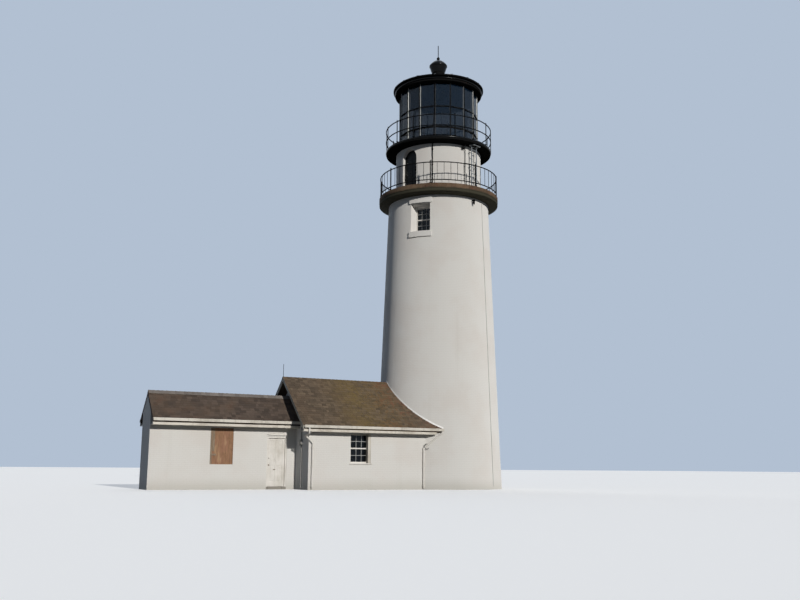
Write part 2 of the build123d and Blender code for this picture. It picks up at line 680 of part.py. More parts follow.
def workroom():
    """The gabled room against the tower: floor, walls, roof, window sashes and edge boards."""
    tower = shaft_solid()
    args = (0.0, ROOM_RIDGE_Z, ROOM_SLOPE)
    inner_w = ROOM_HALF_W - ROOM_WALL_T
    inner_x = ROOM_X + ROOM_WALL_T
    half_door = PASSAGE_INNER_DOOR_W / 2

    floor = box(inner_x, -1, -inner_w, inner_w, 0, FLOOR_T) - tower
    save("workroom_floor", floor + box(ROOM_X, inner_x, -half_door, half_door, 0, FLOOR_T))

    half_win = ROOM_WINDOW_W / 2
    for side, name in ((-1, "front"), (1, "back")):
        wall = side_wall(side, 0.0, ROOM_HALF_W, ROOM_WALL_T, ROOM_RIDGE_Z, ROOM_SLOPE, ROOM_X, -1)
        hole = box(
            ROOM_WINDOW_X - half_win, ROOM_WINDOW_X + half_win,
            side * (inner_w - 1), side * (ROOM_HALF_W + 1), ROOM_WINDOW_Z0, ROOM_WINDOW_Z1,
        )
        save(f"workroom_{name}_wall", wall - tower - hole)
        slab = roof_slab(side, 0.0, ROOM_EAVE_Y, ROOM_RIDGE_Z, ROOM_SLOPE, ROOM_RAKE_X + RAKE_BOARD_T, -1)
        save(f"workroom_roof_{name}", slab - tower)

    for y0, y1, name in ((-inner_w, -half_door, "front"), (half_door, inner_w, "back")):
        section = [(y0, 0), (y1, 0), (y1, roof_under(y1, *args)), (y0, roof_under(y0, *args))]
        save(f"gable_wall_{name}", along_x(section, ROOM_X, inner_x))
    side_z = roof_under(half_door, *args)
    over = [
        (-half_door, INNER_DOOR_TOP_Z), (half_door, INNER_DOOR_TOP_Z), (half_door, side_z),
        (0, roof_under(0, *args)), (-half_door, side_z),
    ]
    save("gable_wall_over_door", along_x(over, ROOM_X, inner_x))

    boards = None
    drop = RAKE_BOARD_H * math.sqrt(1 + ROOM_SLOPE * ROOM_SLOPE)
    for side in (-1, 1):
        eave = side * ROOM_EAVE_Y
        section = [
            (0, ROOM_RIDGE_Z), (eave, ROOM_EAVE_Z), (eave, ROOM_EAVE_Z - drop), (0, ROOM_RIDGE_Z - drop)
        ]
        board = along_x(section, ROOM_RAKE_X, ROOM_RAKE_X + RAKE_BOARD_T)
        boards = board if boards is None else boards + board
    save("workroom_rake_boards", boards)
    rod_x = ROOM_RAKE_X + RIDGE_ROD_INSET
    save("ridge_rod", upright_bar(rod_x, 0, ROOM_RIDGE_Z, RIDGE_ROD_H, RIDGE_ROD_R))


def workroom_windows():
    """The sashes of the front and back windows, set back in the walls."""
    width = ROOM_WINDOW_W
    height = ROOM_WINDOW_Z1 - ROOM_WINDOW_Z0
    frame, panes = sash(width, height)
    mid_z = (ROOM_WINDOW_Z0 + ROOM_WINDOW_Z1) / 2
    frames, glass = [], []
    for turn, y in ((-90, -ROOM_HALF_W + ROOM_WINDOW_DEPTH), (90, ROOM_HALF_W - ROOM_WINDOW_DEPTH)):
        place = Pos(ROOM_WINDOW_X, y, mid_z) * Rot(0, 0, turn)
        frames.append(place * frame)
        glass += [place * pane for pane in panes]
    save("workroom_window_sashes", *frames)
    return glass


def passage():
    """The covered passage: floor, walls, roof and the boarded-up window."""
    args = (PASSAGE_MID_Y, PASSAGE_RIDGE_Z, PASSAGE_SLOPE)
    inner_w = PASSAGE_HALF_W - PASSAGE_WALL_T
    front_out, front_in = PASSAGE_MID_Y - PASSAGE_HALF_W, PASSAGE_MID_Y - inner_w
    back_in = PASSAGE_MID_Y + inner_w
    inner_x = PASSAGE_X + PASSAGE_WALL_T
    door_x0, door_x1 = DOOR_X - DOOR_OPENING_W / 2, DOOR_X + DOOR_OPENING_W / 2
    door_top = FLOOR_T + DOOR_OPENING_H

    floor = box(inner_x, ROOM_X, front_in, back_in, 0, FLOOR_T)
    save("passage_floor", floor + box(door_x0, door_x1, front_out, front_in, 0, FLOOR_T))

    sizes = (PASSAGE_MID_Y, PASSAGE_HALF_W, PASSAGE_WALL_T, PASSAGE_RIDGE_Z, PASSAGE_SLOPE)
    front, back = [side_wall(side, *sizes, PASSAGE_X, ROOM_X) for side in (-1, 1)]
    board_x0, board_x1 = BOARDED_X - BOARDED_W / 2, BOARDED_X + BOARDED_W / 2
    boarded = box(board_x0, board_x1, front_out - 1, front_in + 1, BOARDED_Z0, BOARDED_Z1)
    high = PASSAGE_RIDGE_Z
    keep_left = box(PASSAGE_X, door_x0, front_out, front_in, 0, high)
    keep_over = box(door_x0, door_x1, front_out, front_in, door_top, high)
    keep_right = box(door_x1, ROOM_X, front_out, front_in, 0, high)
    save("passage_front_wall", (front & keep_left) - boarded)
    save("passage_wall_over_door", front & keep_over)
    save("passage_front_wall_end", front & keep_right)
    save("passage_back_wall", back)
    end = [
        (front_in, 0), (back_in, 0), (back_in, roof_under(back_in, *args)),
        (PASSAGE_MID_Y, roof_under(PASSAGE_MID_Y, *args)), (front_in, roof_under(front_in, *args)),
    ]
    save("passage_end_wall", along_x(end, PASSAGE_X, inner_x))
    sizes = (PASSAGE_MID_Y, PASSAGE_EAVE_Y, PASSAGE_RIDGE_Z, PASSAGE_SLOPE)
    for side, name in ((-1, "front"), (1, "back")):
        save(f"passage_roof_{name}", roof_slab(side, *sizes, PASSAGE_X, ROOM_X))

    board_y = front_out + BOARD_INSET
    save("boarded_window", box(board_x0, board_x1, board_y, board_y + BOARD_T, BOARDED_Z0, BOARDED_Z1))


def passage_door():
    """The ground-level door, its frame with the hinge pins, and the low arched hood over it."""
    wall_y = PASSAGE_MID_Y - PASSAGE_HALF_W
    frame_y = wall_y + FRAME_INSET
    back_y = frame_y + FRAME_D
    x0, x1 = DOOR_X - DOOR_OPENING_W / 2, DOOR_X + DOOR_OPENING_W / 2
    z0, z1 = FLOOR_T, FLOOR_T + DOOR_OPENING_H
    leaf_y = back_y - DOOR_T
    stop_y = leaf_y - STOP_GAP
    lap = FRAME_W + DOOR_GAP + STOP_LAP
    frame = box(x0, x1, frame_y, back_y, z0, z1)
    frame = frame - box(x0 + FRAME_W, x1 - FRAME_W, stop_y, back_y, z0, z1 - FRAME_W)
    frame = frame - box(x0 + lap, x1 - lap, frame_y, stop_y, z0, z1 - lap)

    leaf_x0, leaf_x1 = x0 + FRAME_W + DOOR_GAP, x1 - FRAME_W - DOOR_GAP
    leaf = box(leaf_x0, leaf_x1, leaf_y, back_y, z0 + DOOR_GAP, z1 - FRAME_W - DOOR_GAP)

    pin_x, pin_y = leaf_x1 + DOOR_GAP / 2, back_y + HINGE_R
    knuckle_h = HINGE_H / 3
    leaf_edge, frame_edge = pin_x - HINGE_LEAF_W, pin_x + HINGE_LEAF_W
    for height in HINGE_HEIGHTS:
        base = z0 + height
        middle = base + knuckle_h + KNUCKLE_GAP
        middle_h = knuckle_h - 2 * KNUCKLE_GAP
        hole = upright_bar(pin_x, pin_y, middle, middle_h, PIN_R + PIN_PLAY)
        strap = box(leaf_edge, pin_x, back_y, back_y + HINGE_LEAF_T, middle, middle + middle_h)
        leaf = leaf + (strap + upright_bar(pin_x, pin_y, middle, middle_h, HINGE_R) - hole)
        for z in (base, base + 2 * knuckle_h):
            strap = box(pin_x, frame_edge, back_y, back_y + HINGE_LEAF_T, z, z + knuckle_h)
            frame = frame + strap + upright_bar(pin_x, pin_y, z, knuckle_h, HINGE_R)
        frame = frame + upright_bar(pin_x, pin_y, base, HINGE_H, PIN_R)

    knob_x = leaf_x0 + KNOB_EDGE
    for face_y, out in ((leaf_y, -1), (back_y, 1)):
        mid_y = face_y + out * KNOB_REACH / 2
        neck = Pos(knob_x, mid_y, z0 + KNOB_H) * Rot(90, 0, 0) * Cylinder(KNOB_NECK_R, KNOB_REACH)
        leaf = leaf + neck + Pos(knob_x, face_y + out * KNOB_REACH, z0 + KNOB_H) * Sphere(KNOB_R)
    lock = Pos(knob_x, leaf_y - LOCK_REACH / 2, z0 + LOCK_H) * Rot(90, 0, 0) * Cylinder(LOCK_R, LOCK_REACH)
    save("passage_door", leaf + lock)
    save("passage_door_frame", frame)

    left, right = (DOOR_X - HOOD_W / 2, wall_y, z1), (DOOR_X + HOOD_W / 2, wall_y, z1)
    left_top = (left[0], wall_y, z1 + HOOD_END_H)
    right_top = (right[0], wall_y, z1 + HOOD_END_H)
    crown = (DOOR_X, wall_y, z1 + HOOD_END_H + HOOD_RISE)
    arch = ThreePointArc(left_top, crown, right_top)
    edges = [Line(left, left_top), arch, Line(right_top, right), Line(right, left)]
    save("passage_door_hood", extrude(make_face(edges), HOOD_PROUD, dir=(0, -1, 0)))
    return pin_x, pin_y


def eaves():
    """The boxed eaves with gutters on the long sides of both rooms."""
    tower = shaft_solid()
    end_x = gutter_end_x()
    runs = []
    for side in (-1, 1):
        run = gutter_run(
            side, 0.0, ROOM_EAVE_Y, ROOM_HALF_W, ROOM_RIDGE_Z, ROOM_SLOPE,
            ROOM_RAKE_X + RAKE_BOARD_T, end_x, end_x - FASCIA_SHORT,
        )
        runs.append(run - tower)
    save("workroom_gutters", *runs)
    runs = []
    for side in (-1, 1):
        runs.append(gutter_run(
            side, PASSAGE_MID_Y, PASSAGE_EAVE_Y, PASSAGE_HALF_W, PASSAGE_RIDGE_Z, PASSAGE_SLOPE,
            PASSAGE_X, ROOM_X, ROOM_X,
        ))
    save("passage_gutters", *runs)


def rain_pipe(points):
    """A round pipe along straight runs with eased bends."""
    path = FilletPolyline(*points, radius=PIPE_BEND_R)
    return sweep(Plane(path @ 0, z_dir=path % 0) * Circle(DOWNPIPE_D / 2), path=path)


def rain_pipes():
    """The pipes from both ends of the workroom's gutters to the ground, and the gable's conduit."""
    outlet_y = ROOM_EAVE_Y + GUTTER_W / 2
    outlet_z = ROOM_EAVE_Z - GUTTER_T - GUTTER_H
    wall_y = ROOM_HALF_W + PIPE_OFF_WALL
    elbow_z = outlet_z - EAVE_BOX_H - PIPE_ELBOW_DROP
    back_z = elbow_z - PIPE_BACK_DROP
    left_x, left_foot_x = ROOM_RAKE_X + LEFT_OUTLET_INSET, ROOM_X + LEFT_PIPE_INSET
    right_x = gutter_end_x() - RIGHT_OUTLET_INSET
    clear_r = SHAFT_BASE_R + PIPE_TOWER_GAP + DOWNPIPE_D / 2
    right_foot_x = -math.sqrt(clear_r ** 2 - wall_y ** 2)
    pipes = []
    for side in (-1, 1):
        far, near = side * outlet_y, side * wall_y
        pipes.append(rain_pipe([
            (left_x, far, outlet_z), (left_x, far, elbow_z), (left_x, near, back_z),
            (left_foot_x, near, back_z - PIPE_SIDE_DROP), (left_foot_x, near, PIPE_FOOT_Z),
        ]))
        pipes.append(rain_pipe([
            (right_x, far, outlet_z), (right_x, far, outlet_z - RIGHT_ELBOW_DROP),
            (right_foot_x, near, outlet_z - RIGHT_PIPE_DROP), (right_foot_x, near, PIPE_FOOT_Z),
        ]))
    save("rain_pipes", *pipes)
    half = METER_W / 2
    meter = box(ROOM_X - METER_T, ROOM_X, CONDUIT_Y - half, CONDUIT_Y + half, METER_Z, METER_Z + METER_H)
    conduit_r = CONDUIT_D / 2
    conduit = upright_bar(ROOM_X - conduit_r, CONDUIT_Y, PIPE_FOOT_Z, CONDUIT_TOP_Z - PIPE_FOOT_Z, conduit_r)
    save("gable_conduit", conduit + meter)


def roof_flashing():
    """The white band that closes the workroom's roof against the curved shaft."""
    wide = ring([
        (0, 0), (SHAFT_BASE_R + FLASHING_T, 0), (SHAFT_TOP_R + FLASHING_T, SHAFT_TOP_Z), (0, SHAFT_TOP_Z)
    ])
    eave_top, ridge_top = ROOM_EAVE_Z + FLASHING_H, ROOM_RIDGE_Z + FLASHING_H
    layer = [
        (-ROOM_EAVE_Y, ROOM_EAVE_Z), (0, ROOM_RIDGE_Z), (ROOM_EAVE_Y, ROOM_EAVE_Z),
        (ROOM_EAVE_Y, eave_top), (0, ridge_top), (-ROOM_EAVE_Y, eave_top),
    ]
    save("roof_flashing", (along_x(layer, ROOM_X, -1) & wide) - shaft_solid())


def main():
    os.makedirs("parts", exist_ok=True)
    tower_floor()
    tower_walls()
    glass = shaft_window()
    lower_gallery()
    watch_room()
    watch_room_ladder()
    watch_room_pipes()
    upper_gallery()
    lantern()
    lantern_roof()
    shaft_fittings()
    workroom()
    glass += workroom_windows()
    save("window_glass", *glass)
    passage()
    pin = passage_door()
    eaves()
    rain_pipes()
    roof_flashing()
    print("door hinge axis at x, y:", pin)


main()
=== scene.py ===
import bpy
import math
import random
from mathutils import Matrix, Vector


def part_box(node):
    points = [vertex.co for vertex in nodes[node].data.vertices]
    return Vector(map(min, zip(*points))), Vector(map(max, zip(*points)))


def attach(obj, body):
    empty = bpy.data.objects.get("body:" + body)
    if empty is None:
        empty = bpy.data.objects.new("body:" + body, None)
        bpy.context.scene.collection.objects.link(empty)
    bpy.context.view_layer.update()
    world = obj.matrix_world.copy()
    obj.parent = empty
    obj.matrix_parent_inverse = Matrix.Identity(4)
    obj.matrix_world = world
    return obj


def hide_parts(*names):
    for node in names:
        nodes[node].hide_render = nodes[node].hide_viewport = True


# The looks of a round white light tower with two galleries and a glazed lantern, and of the two
# gabled rooms at its foot. Metres, in the frame's axes: the tower's axis at the origin, +Z up, the
# rooms along -X, and the side with the doors and windows faces -Y.

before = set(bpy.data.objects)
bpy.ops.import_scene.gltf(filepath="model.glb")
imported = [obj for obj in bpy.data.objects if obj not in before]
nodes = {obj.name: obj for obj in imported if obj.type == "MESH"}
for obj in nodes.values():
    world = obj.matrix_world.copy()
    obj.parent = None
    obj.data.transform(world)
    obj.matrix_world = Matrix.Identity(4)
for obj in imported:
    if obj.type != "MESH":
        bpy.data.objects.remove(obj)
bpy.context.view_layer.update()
BUILDING = "building"
DOOR = "door"


def low(node):
    """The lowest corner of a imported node."""
    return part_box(node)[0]


def high(node):
    """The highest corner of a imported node."""
    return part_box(node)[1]


# Tower, from the frame
SHAFT_TOP_Z = high("tower_wall_1").z
SHAFT_BASE_R = high("tower_wall_5").x
SHAFT_TOP_R = 2.288
SHAFT_WINDOW_ANGLE = 220.0
SHAFT_SILL_Z = 11.02
INNER_R = 1.70
_, DECK_R, DECK_Z = high("lower_gallery_deck")
LIP_Z = DECK_Z - 0.245
WATCH_R = high("watch_room_wall").x
WATCH_DOOR_ANGLE = 197.8
UPPER_Z0 = low("upper_gallery_deck").z
_, UPPER_R, UPPER_Z1 = high("upper_gallery_deck")
RAIL_R = DECK_R - 0.051
UPPER_RAIL_R = UPPER_R - 0.02
RAIL_START = 232.6
LANTERN_R = 1.848
LANTERN_START = 235.3
GLASS_Z0 = high("lantern_parapet").z
GLASS_Z1 = low("lantern_cornice").z
_, RIM_R, CORNICE_Z1 = high("lantern_cornice")
NECK_Z = high("lantern_roof").z
SIDES = 16

# Rooms, from the frame
ROOM_X = low("gable_wall_front").x
ROOM_HALF_W = -low("workroom_front_wall").y
ROOM_EAVE_Y = -low("workroom_roof_front").y
ROOM_RIDGE_Z = high("workroom_roof_front").z
ROOM_RAKE_X = low("workroom_rake_boards").x
PASSAGE_X = low("passage_roof_front").x
_, PASSAGE_MID_Y, PASSAGE_RIDGE_Z = high("passage_roof_front")
PASSAGE_EAVE_Y = PASSAGE_MID_Y - low("passage_roof_front").y
ROOF_T = 0.12


def roof_slope(node, ridge_z, eave_y):
    """A roof's slope, from its ridge, its eave's underside and its thickness."""
    slope = 1.0
    for _ in range(30):
        slope = (ridge_z - low(node).z - ROOF_T * math.hypot(1.0, slope)) / eave_y
    return slope


ROOM_SLOPE = roof_slope("workroom_roof_front", ROOM_RIDGE_Z, ROOM_EAVE_Y)
PASSAGE_SLOPE = roof_slope("passage_roof_front", PASSAGE_RIDGE_Z, PASSAGE_EAVE_Y)


def shaft_radius(z):
    """The outer radius of the shaft at a height."""
    return SHAFT_BASE_R + (SHAFT_TOP_R - SHAFT_BASE_R) * z / SHAFT_TOP_Z


def polar(radius, angle, z):
    """A point at a radius and an angle in degrees round the tower."""
    turn = math.radians(angle)
    return Vector((radius * math.cos(turn), radius * math.sin(turn), z))


def turned(angle):
    """The place of a shape turned from +X to an angle round the tower."""
    return Matrix.Rotation(math.radians(angle), 4, "Z")


def around(count, start):
    """Places at even angles round the tower."""
    return [turned(start + 360 / count * k) for k in range(count)]


def moved(x, y, z):
    """The place of a shape moved from the origin."""
    return Matrix.Translation((x, y, z))


def tipped(angle):
    """The place of a shape turned about X."""
    return Matrix.Rotation(math.radians(angle), 4, "X")


def at(r, z, *steps):
    """The (radius, z) points some steps away from one point."""
    return [(r + out, z + up) for out, up in steps]


def arc(start, end, steps):
    """The cosine and sine at even steps between two angles in degrees."""
    turns = [math.radians(start + (end - start) * k / steps) for k in range(steps + 1)]
    return [(math.cos(turn), math.sin(turn)) for turn in turns]


def half_round(r, z0, z1, depth, steps=6):
    """The points of a half-round moulding between two heights."""
    middle, half = (z0 + z1) / 2, (z1 - z0) / 2
    return [(r - depth + depth * c, middle + half * s) for c, s in arc(-90, 90, steps)]


def new_object(name, data):
    """An object that shows some data in the scene."""
    obj = bpy.data.objects.new(name, data)
    bpy.context.scene.collection.objects.link(obj)
    return obj


class Shape:
    """Forms collected into one mesh, each with a tone that its material can read."""

    def __init__(self):
        self.points = []
        self.faces = []
        self.tones = []

    def add(self, points, faces, tone=0.5, place=None):
        """A form, moved to its place."""
        start = len(self.points)
        if place is not None:
            points = [place @ Vector(point) for point in points]
        self.points += [tuple(point) for point in points]
        self.faces += [tuple(start + i for i in face) for face in faces]
        self.tones += [tone] * len(points)

    def box(self, x0, x1, y0, y1, z0, z1, place=None):
        """A block between two corners, given in any order."""
        points = [(x, y, z) for x in sorted((x0, x1)) for y in sorted((y0, y1)) for z in sorted((z0, z1))]
        faces = [(0, 1, 3, 2), (4, 6, 7, 5), (0, 4, 5, 1), (2, 3, 7, 6), (0, 2, 6, 4), (1, 5, 7, 3)]
        self.add(points, faces, place=place)

    def loft(self, rings, tone=0.5, place=None, ends="closed"):
        """A form through rings of as many points each, its ends closed, open or joined."""
        n, count = len(rings[0]), len(rings)
        faces = []
        for k in range(count if ends == "joined" else count - 1):
            a, b = k * n, (k + 1) % count * n
            faces += [(a + i, a + (i + 1) % n, b + (i + 1) % n, b + i) for i in range(n)]
        if ends == "closed":
            faces += [tuple(range(n - 1, -1, -1)), tuple(range(n * (count - 1), n * count))]
        self.add([point for ring in rings for point in ring], faces, tone, place)

    def lathe(self, profile, start=0.0, end=360.0, segments=128, tone=0.5, place=None):
        """A closed profile of (radius, z) points turned about Z."""
        whole = end - start > 359.99
        rings = []
        for k in range(segments if whole else segments + 1):
            angle = start + (end - start) * k / segments
            rings.append([polar(r, angle, z) for r, z in reversed(profile)])
        self.loft(rings, tone, place, "joined" if whole else "closed")

    def solid_of_turn(self, outline, segments, place=None):
        """An outline of (radius, z) points from one pole to the other, turned about Z."""
        rings = outline[1:-1]
        points = [Vector((0, 0, outline[0][1]))]
        for r, z in rings:
            points += [polar(r, 360 * k / segments, z) for k in range(segments)]
        points.append(Vector((0, 0, outline[-1][1])))
        last = len(points) - 1
        top = last - segments
        faces = []
        for k in range(segments):
            after = (k + 1) % segments
            faces += [(0, 1 + after, 1 + k), (top + k, top + after, last)]
            for a in range(1, top, segments):
                b = a + segments
                faces.append((a + k, a + after, b + after, b + k))
        self.add(points, faces, place=place)

    def tube(self, path, radius, sides):
        """A round bar along a path of points."""
        rings = []
        across = None
        for k, point in enumerate(path):
            along = (path[min(k + 1, len(path) - 1)] - path[max(k - 1, 0)]).normalized()
            if across is None:
                across = along.orthogonal().normalized()
            else:
                across = (across - along * across.dot(along)).normalized()
            up = along.cross(across)
            rings.append([point + (across * c + up * s) * radius for c, s in arc(0, 360, sides)[:-1]])
        self.loft(rings)

    def post(self, foot, height, radius, sides=24):
        """A round post or plate that stands on a point."""
        foot = Vector(foot)
        self.tube([foot, foot + Vector((0, 0, height))], radius, sides)

    def piece(self, name, material, slot="black_iron", body=BUILDING, replaces=(), bevel=0.0, sharp=35.0):
        """Make the mesh object, with its material and body; the slot is not used."""
        mesh = bpy.data.meshes.new(name)
        mesh.from_pydata(self.points, [], self.faces)
        mesh.update()
        tones = mesh.attributes.new("tone", "FLOAT", "POINT")
        tones.data.foreach_set("value", self.tones)
        mesh.materials.append(material)
        mesh.shade_smooth()
        mesh.set_sharp_from_angle(angle=math.radians(sharp))
        obj = new_object(name, mesh)
        if bevel:
            edge = obj.modifiers.new("bevel", "BEVEL")
            edge.width, edge.segments = bevel, 2
            edge.limit_method, edge.angle_limit = "ANGLE", math.radians(sharp)
            edge.harden_normals = True
        if replaces:
            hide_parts(*replaces)
        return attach(obj, body)


def paint(red, green, blue):
    """A colour as it shows on screen, 0 to 255, made linear for a shader."""
    linear = []
    for value in (red, green, blue):
        share = value / 255
        linear.append(share / 12.92 if share <= 0.04045 else ((share + 0.055) / 1.055) ** 2.4)
    return (*linear, 1.0)


class Nodes:
    """Adds nodes to a tree."""

    def __init__(self, tree):
        self.tree = tree

    def node(self, kind, options=None, **inputs):
        made = self.tree.nodes.new("ShaderNode" + kind)
        for key, value in (options or {}).items():
            setattr(made, key, value)
        for key, value in inputs.items():
            self.set(made.inputs[key.replace("_", " ")], value)
        return made

    def set(self, socket, value):
        """Link an output or set a value. A colour of three parts is as it shows on screen."""
        if isinstance(value, bpy.types.NodeSocket):
            self.tree.links.new(value, socket)
        elif socket.type == "RGBA" and len(value) == 3:
            socket.default_value = paint(*value)
        else:
            socket.default_value = value

    def maths(self, operation, a, b):
        made = self.node("Math", {"operation": operation})
        for socket, value in zip(made.inputs, (a, b)):
            self.set(socket, value)
        return made.outputs[0]

    def plus(self, a, b):
        return self.maths("ADD", a, b)

    def minus(self, a, b):
        return self.maths("SUBTRACT", a, b)

    def times(self, a, b):
        return self.maths("MULTIPLY", a, b)

    def mix(self, share, a, b):
        made = self.node("Mix", {"data_type": "RGBA"})
        for index, value in ((0, share), (6, a), (7, b)):
            self.set(made.inputs[index], value)
        return made.outputs[2]

    def seen(self):
        """1 for rays from the camera, a mirror or glass, and 0 for scattered light."""
        rays = self.node("LightPath").outputs
        shiny = self.maths("MAXIMUM", rays["Is Glossy Ray"], rays["Is Transmission Ray"])
        return self.maths("MAXIMUM", rays["Is Camera Ray"], shiny)


class Look(Nodes):
    """A procedural material, built round its one shader."""

    def __init__(self, name, **settings):
        self.material = bpy.data.materials.new(name)
        self.material.use_nodes = True
        super().__init__(self.material.node_tree)
        self.shader = self.tree.nodes["Principled BSDF"]
        for socket, value in settings.items():
            self.shader.inputs[socket.replace("_", " ")].default_value = value
        self.place = self.node("TexCoord").outputs["Object"]
        self.x, self.y, self.z = self.node("SeparateXYZ", Vector=self.place).outputs

    def noise(self, scale, detail=4.0, rough=0.6, stretch=None):
        """Noise, its place scaled along each axis where a stretch is given."""
        place = self.place
        if stretch:
            place = self.node("Mapping", Vector=place, Scale=stretch).outputs[0]
        made = self.node("TexNoise", Vector=place, Scale=scale, Detail=detail, Roughness=rough)
        return made.outputs["Fac"]

    def span(self, value, from_low, from_high, to_low=0.0, to_high=1.0):
        """A value carried from one range to another, held at the ends."""
        made = self.node(
            "MapRange", {"interpolation_type": "SMOOTHSTEP"}, Value=value,
            From_Min=from_low, From_Max=from_high, To_Min=to_low, To_Max=to_high,
        )
        return made.outputs[0]

    def over(self, colour, value, start, end, most, shade):
        """A colour under a shade, up to a share, as a value goes from start to end."""
        return self.mix(self.span(value, start, end, 0.0, most), colour, shade)

    def tone(self):
        """The tone that each form of the piece was made with, 0 to 1."""
        return self.node("Attribute", {"attribute_name": "tone"}).outputs["Fac"]

    def bricks(self, vector, length, height, joint, **more):
        """Courses of bricks or slabs: 0 on one and 1 in a joint."""
        made = self.node(
            "TexBrick", Vector=vector, Scale=1.0,
            Mortar_Size=joint, Brick_Width=length, Row_Height=height, **more,
        )
        return made.outputs["Fac"]

    def done(self, colour, roughness, height=None, strength=0.0, distance=0.0):
        """The material, with its colour, roughness and relief."""
        self.set(self.shader.inputs["Base Color"], colour)
        self.set(self.shader.inputs["Roughness"], roughness)
        if height is not None:
            made = self.node("Bump", Height=height, Strength=strength, Distance=distance)
            self.set(self.shader.inputs["Normal"], made.outputs[0])
        return self.material


def dress(material, starts):
    """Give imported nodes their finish, by the starts of their names in one text."""
    for name, obj in nodes.items():
        if name.startswith(tuple(starts.split())):
            if not obj.material_slots:
                obj.data.materials.append(material)
            for place in obj.material_slots:
                place.material = material


def white_masonry(name, round_wall):
    """Brickwork under many coats of white paint, a little stained."""
    look = Look(name, Specular_IOR_Level=0.1, Diffuse_Roughness=0.8)
    brick_l, brick_h, joint, bricks_round = 0.2135, 0.0711, 0.006, 78
    if round_wall:
        turn = look.maths("ARCTAN2", look.y, look.x)
        along = look.times(turn, brick_l * bricks_round / (2 * math.pi))
    else:
        along = look.plus(look.x, look.y)
    on_wall = look.node("CombineXYZ", X=along, Y=look.z).outputs[0]
    joints = look.bricks(on_wall, brick_l, brick_h, joint, Mortar_Smooth=0.4)
    patches = look.noise(0.55)
    streaks = look.noise(1.0, 4.0, 0.6, (1.7, 1.7, 0.12))
    grain = look.noise(55.0, 3.0, 0.6)
    colour = look.mix(look.span(patches, 0.42, 0.68), (214, 212, 207), (211, 207, 201))
    colour = look.over(colour, streaks, 0.55, 0.8, 0.14, (186, 181, 170))
    splash = look.span(look.plus(look.z, look.times(patches, 0.5)), 0.15, 0.8, 0.4, 0.0)
    colour = look.mix(splash, colour, (168, 163, 148))
    colour = look.mix(look.times(joints, 0.1), colour, (150, 144, 134))
    relief = look.minus(look.times(grain, 0.35), joints)
    return look.done(colour, look.span(grain, 0.3, 0.7, 0.55, 0.75), relief, 0.4, 0.006)


def weathered_stone():
    """The deck's tan stone, darkened under its lip by painted shade on the soffit and by grime on the lower
    course.
    """
    look = Look("weathered stone", Specular_IOR_Level=0.08)
    patches = look.noise(2.2, 5.0, 0.65)
    grain = look.noise(38.0, 4.0, 0.7)
    colour = look.mix(look.span(patches, 0.35, 0.65), (84, 68, 55), (114, 95, 76))
    colour = look.mix(look.times(look.tone(), 0.5), colour, (84, 66, 51))
    colour = look.over(colour, look.noise(2.6, 5.0, 0.75), 0.52, 0.62, 0.38, (104, 62, 50))
    colour = look.over(colour, look.noise(9.0, 5.0, 0.75), 0.55, 0.68, 0.55, (46, 38, 32))
    # Painted shade and grime: everything below the lip turns near-black brown. On the soffit this is painted
    # shade; on the lower course it is grime.
    shade_and_grime_line = look.plus(look.z, look.times(patches, 0.09))
    shade_and_grime = look.span(shade_and_grime_line, LIP_Z + 0.05, LIP_Z + 0.15, 1.0, 0.0)
    colour = look.mix(shade_and_grime, colour, (60, 58, 47))
    colour = look.over(colour, grain, 0.52, 0.72, 0.6, (52, 44, 36))
    return look.done(colour, 0.85, look.plus(grain, patches), 0.5, 0.008)


def floor_stone():
    """Worn paving inside the rooms."""
    look = Look("floor stone", Specular_IOR_Level=0.3)
    joints = look.bricks(look.place, 0.6, 0.4, 0.008)
    patches = look.noise(3.0, rough=0.55)
    colour = look.mix(patches, (122, 118, 110), (150, 145, 134))
    colour = look.mix(joints, colour, (84, 80, 74))
    return look.done(colour, 0.8, look.minus(patches, joints), 0.4, 0.005)


def black_iron(name, gloss, dark, light):
    """Iron under black paint, chipped to rust in places."""
    look = Look(name, Specular_IOR_Level=gloss)
    patches = look.noise(1.6)
    flakes = look.noise(24.0, 5.0, 0.7)
    chips = look.times(look.span(patches, 0.55, 0.7), look.span(flakes, 0.6, 0.68))
    colour = look.mix(look.times(chips, 0.7), look.mix(patches, dark, light), (74, 40, 27))
    relief = look.plus(look.times(patches, 2.0), flakes)
    return look.done(colour, look.span(patches, 0.35, 0.7, 0.18, 0.34), relief, 0.25, 0.004)


def pane_glass(name, alpha, tint):
    """Old glass that holds back some of the light, in a given tint; the lantern's blue tint is painted sky.
    """
    look = Look(name, Specular_IOR_Level=0.4, Alpha=alpha)
    ripple = look.noise(2.5, 2.0, 0.4)
    deeper = (*(0.6 * part for part in paint(*tint)[:3]), 1.0)
    return look.done(look.mix(ripple, tint, deeper), 0.04, ripple, 0.1, 0.01)


def painted(name, clean, worn, dirt_share=0.0):
    """Joinery, gutters and pipes under old paint, a little dirty."""
    look = Look(name, Specular_IOR_Level=0.35)
    grain = look.noise(18.0, 4.0, 0.6, (0.25, 1.6, 1.6))
    dirt = look.noise(1.4, 5.0, 0.65)
    streaks = look.noise(9.0, 4.0, 0.6, (1.0, 1.0, 0.15))
    colour = look.mix(look.span(dirt, 0.4, 0.75), clean, worn)
    colour = look.over(colour, grain, 0.6, 0.8, 0.3, (160, 152, 140))
    colour = look.over(colour, streaks, 0.5, 0.75, 0.2 + dirt_share, (128, 118, 102))
    return look.done(colour, look.span(dirt, 0.3, 0.7, 0.4, 0.6), grain, 0.2, 0.003)


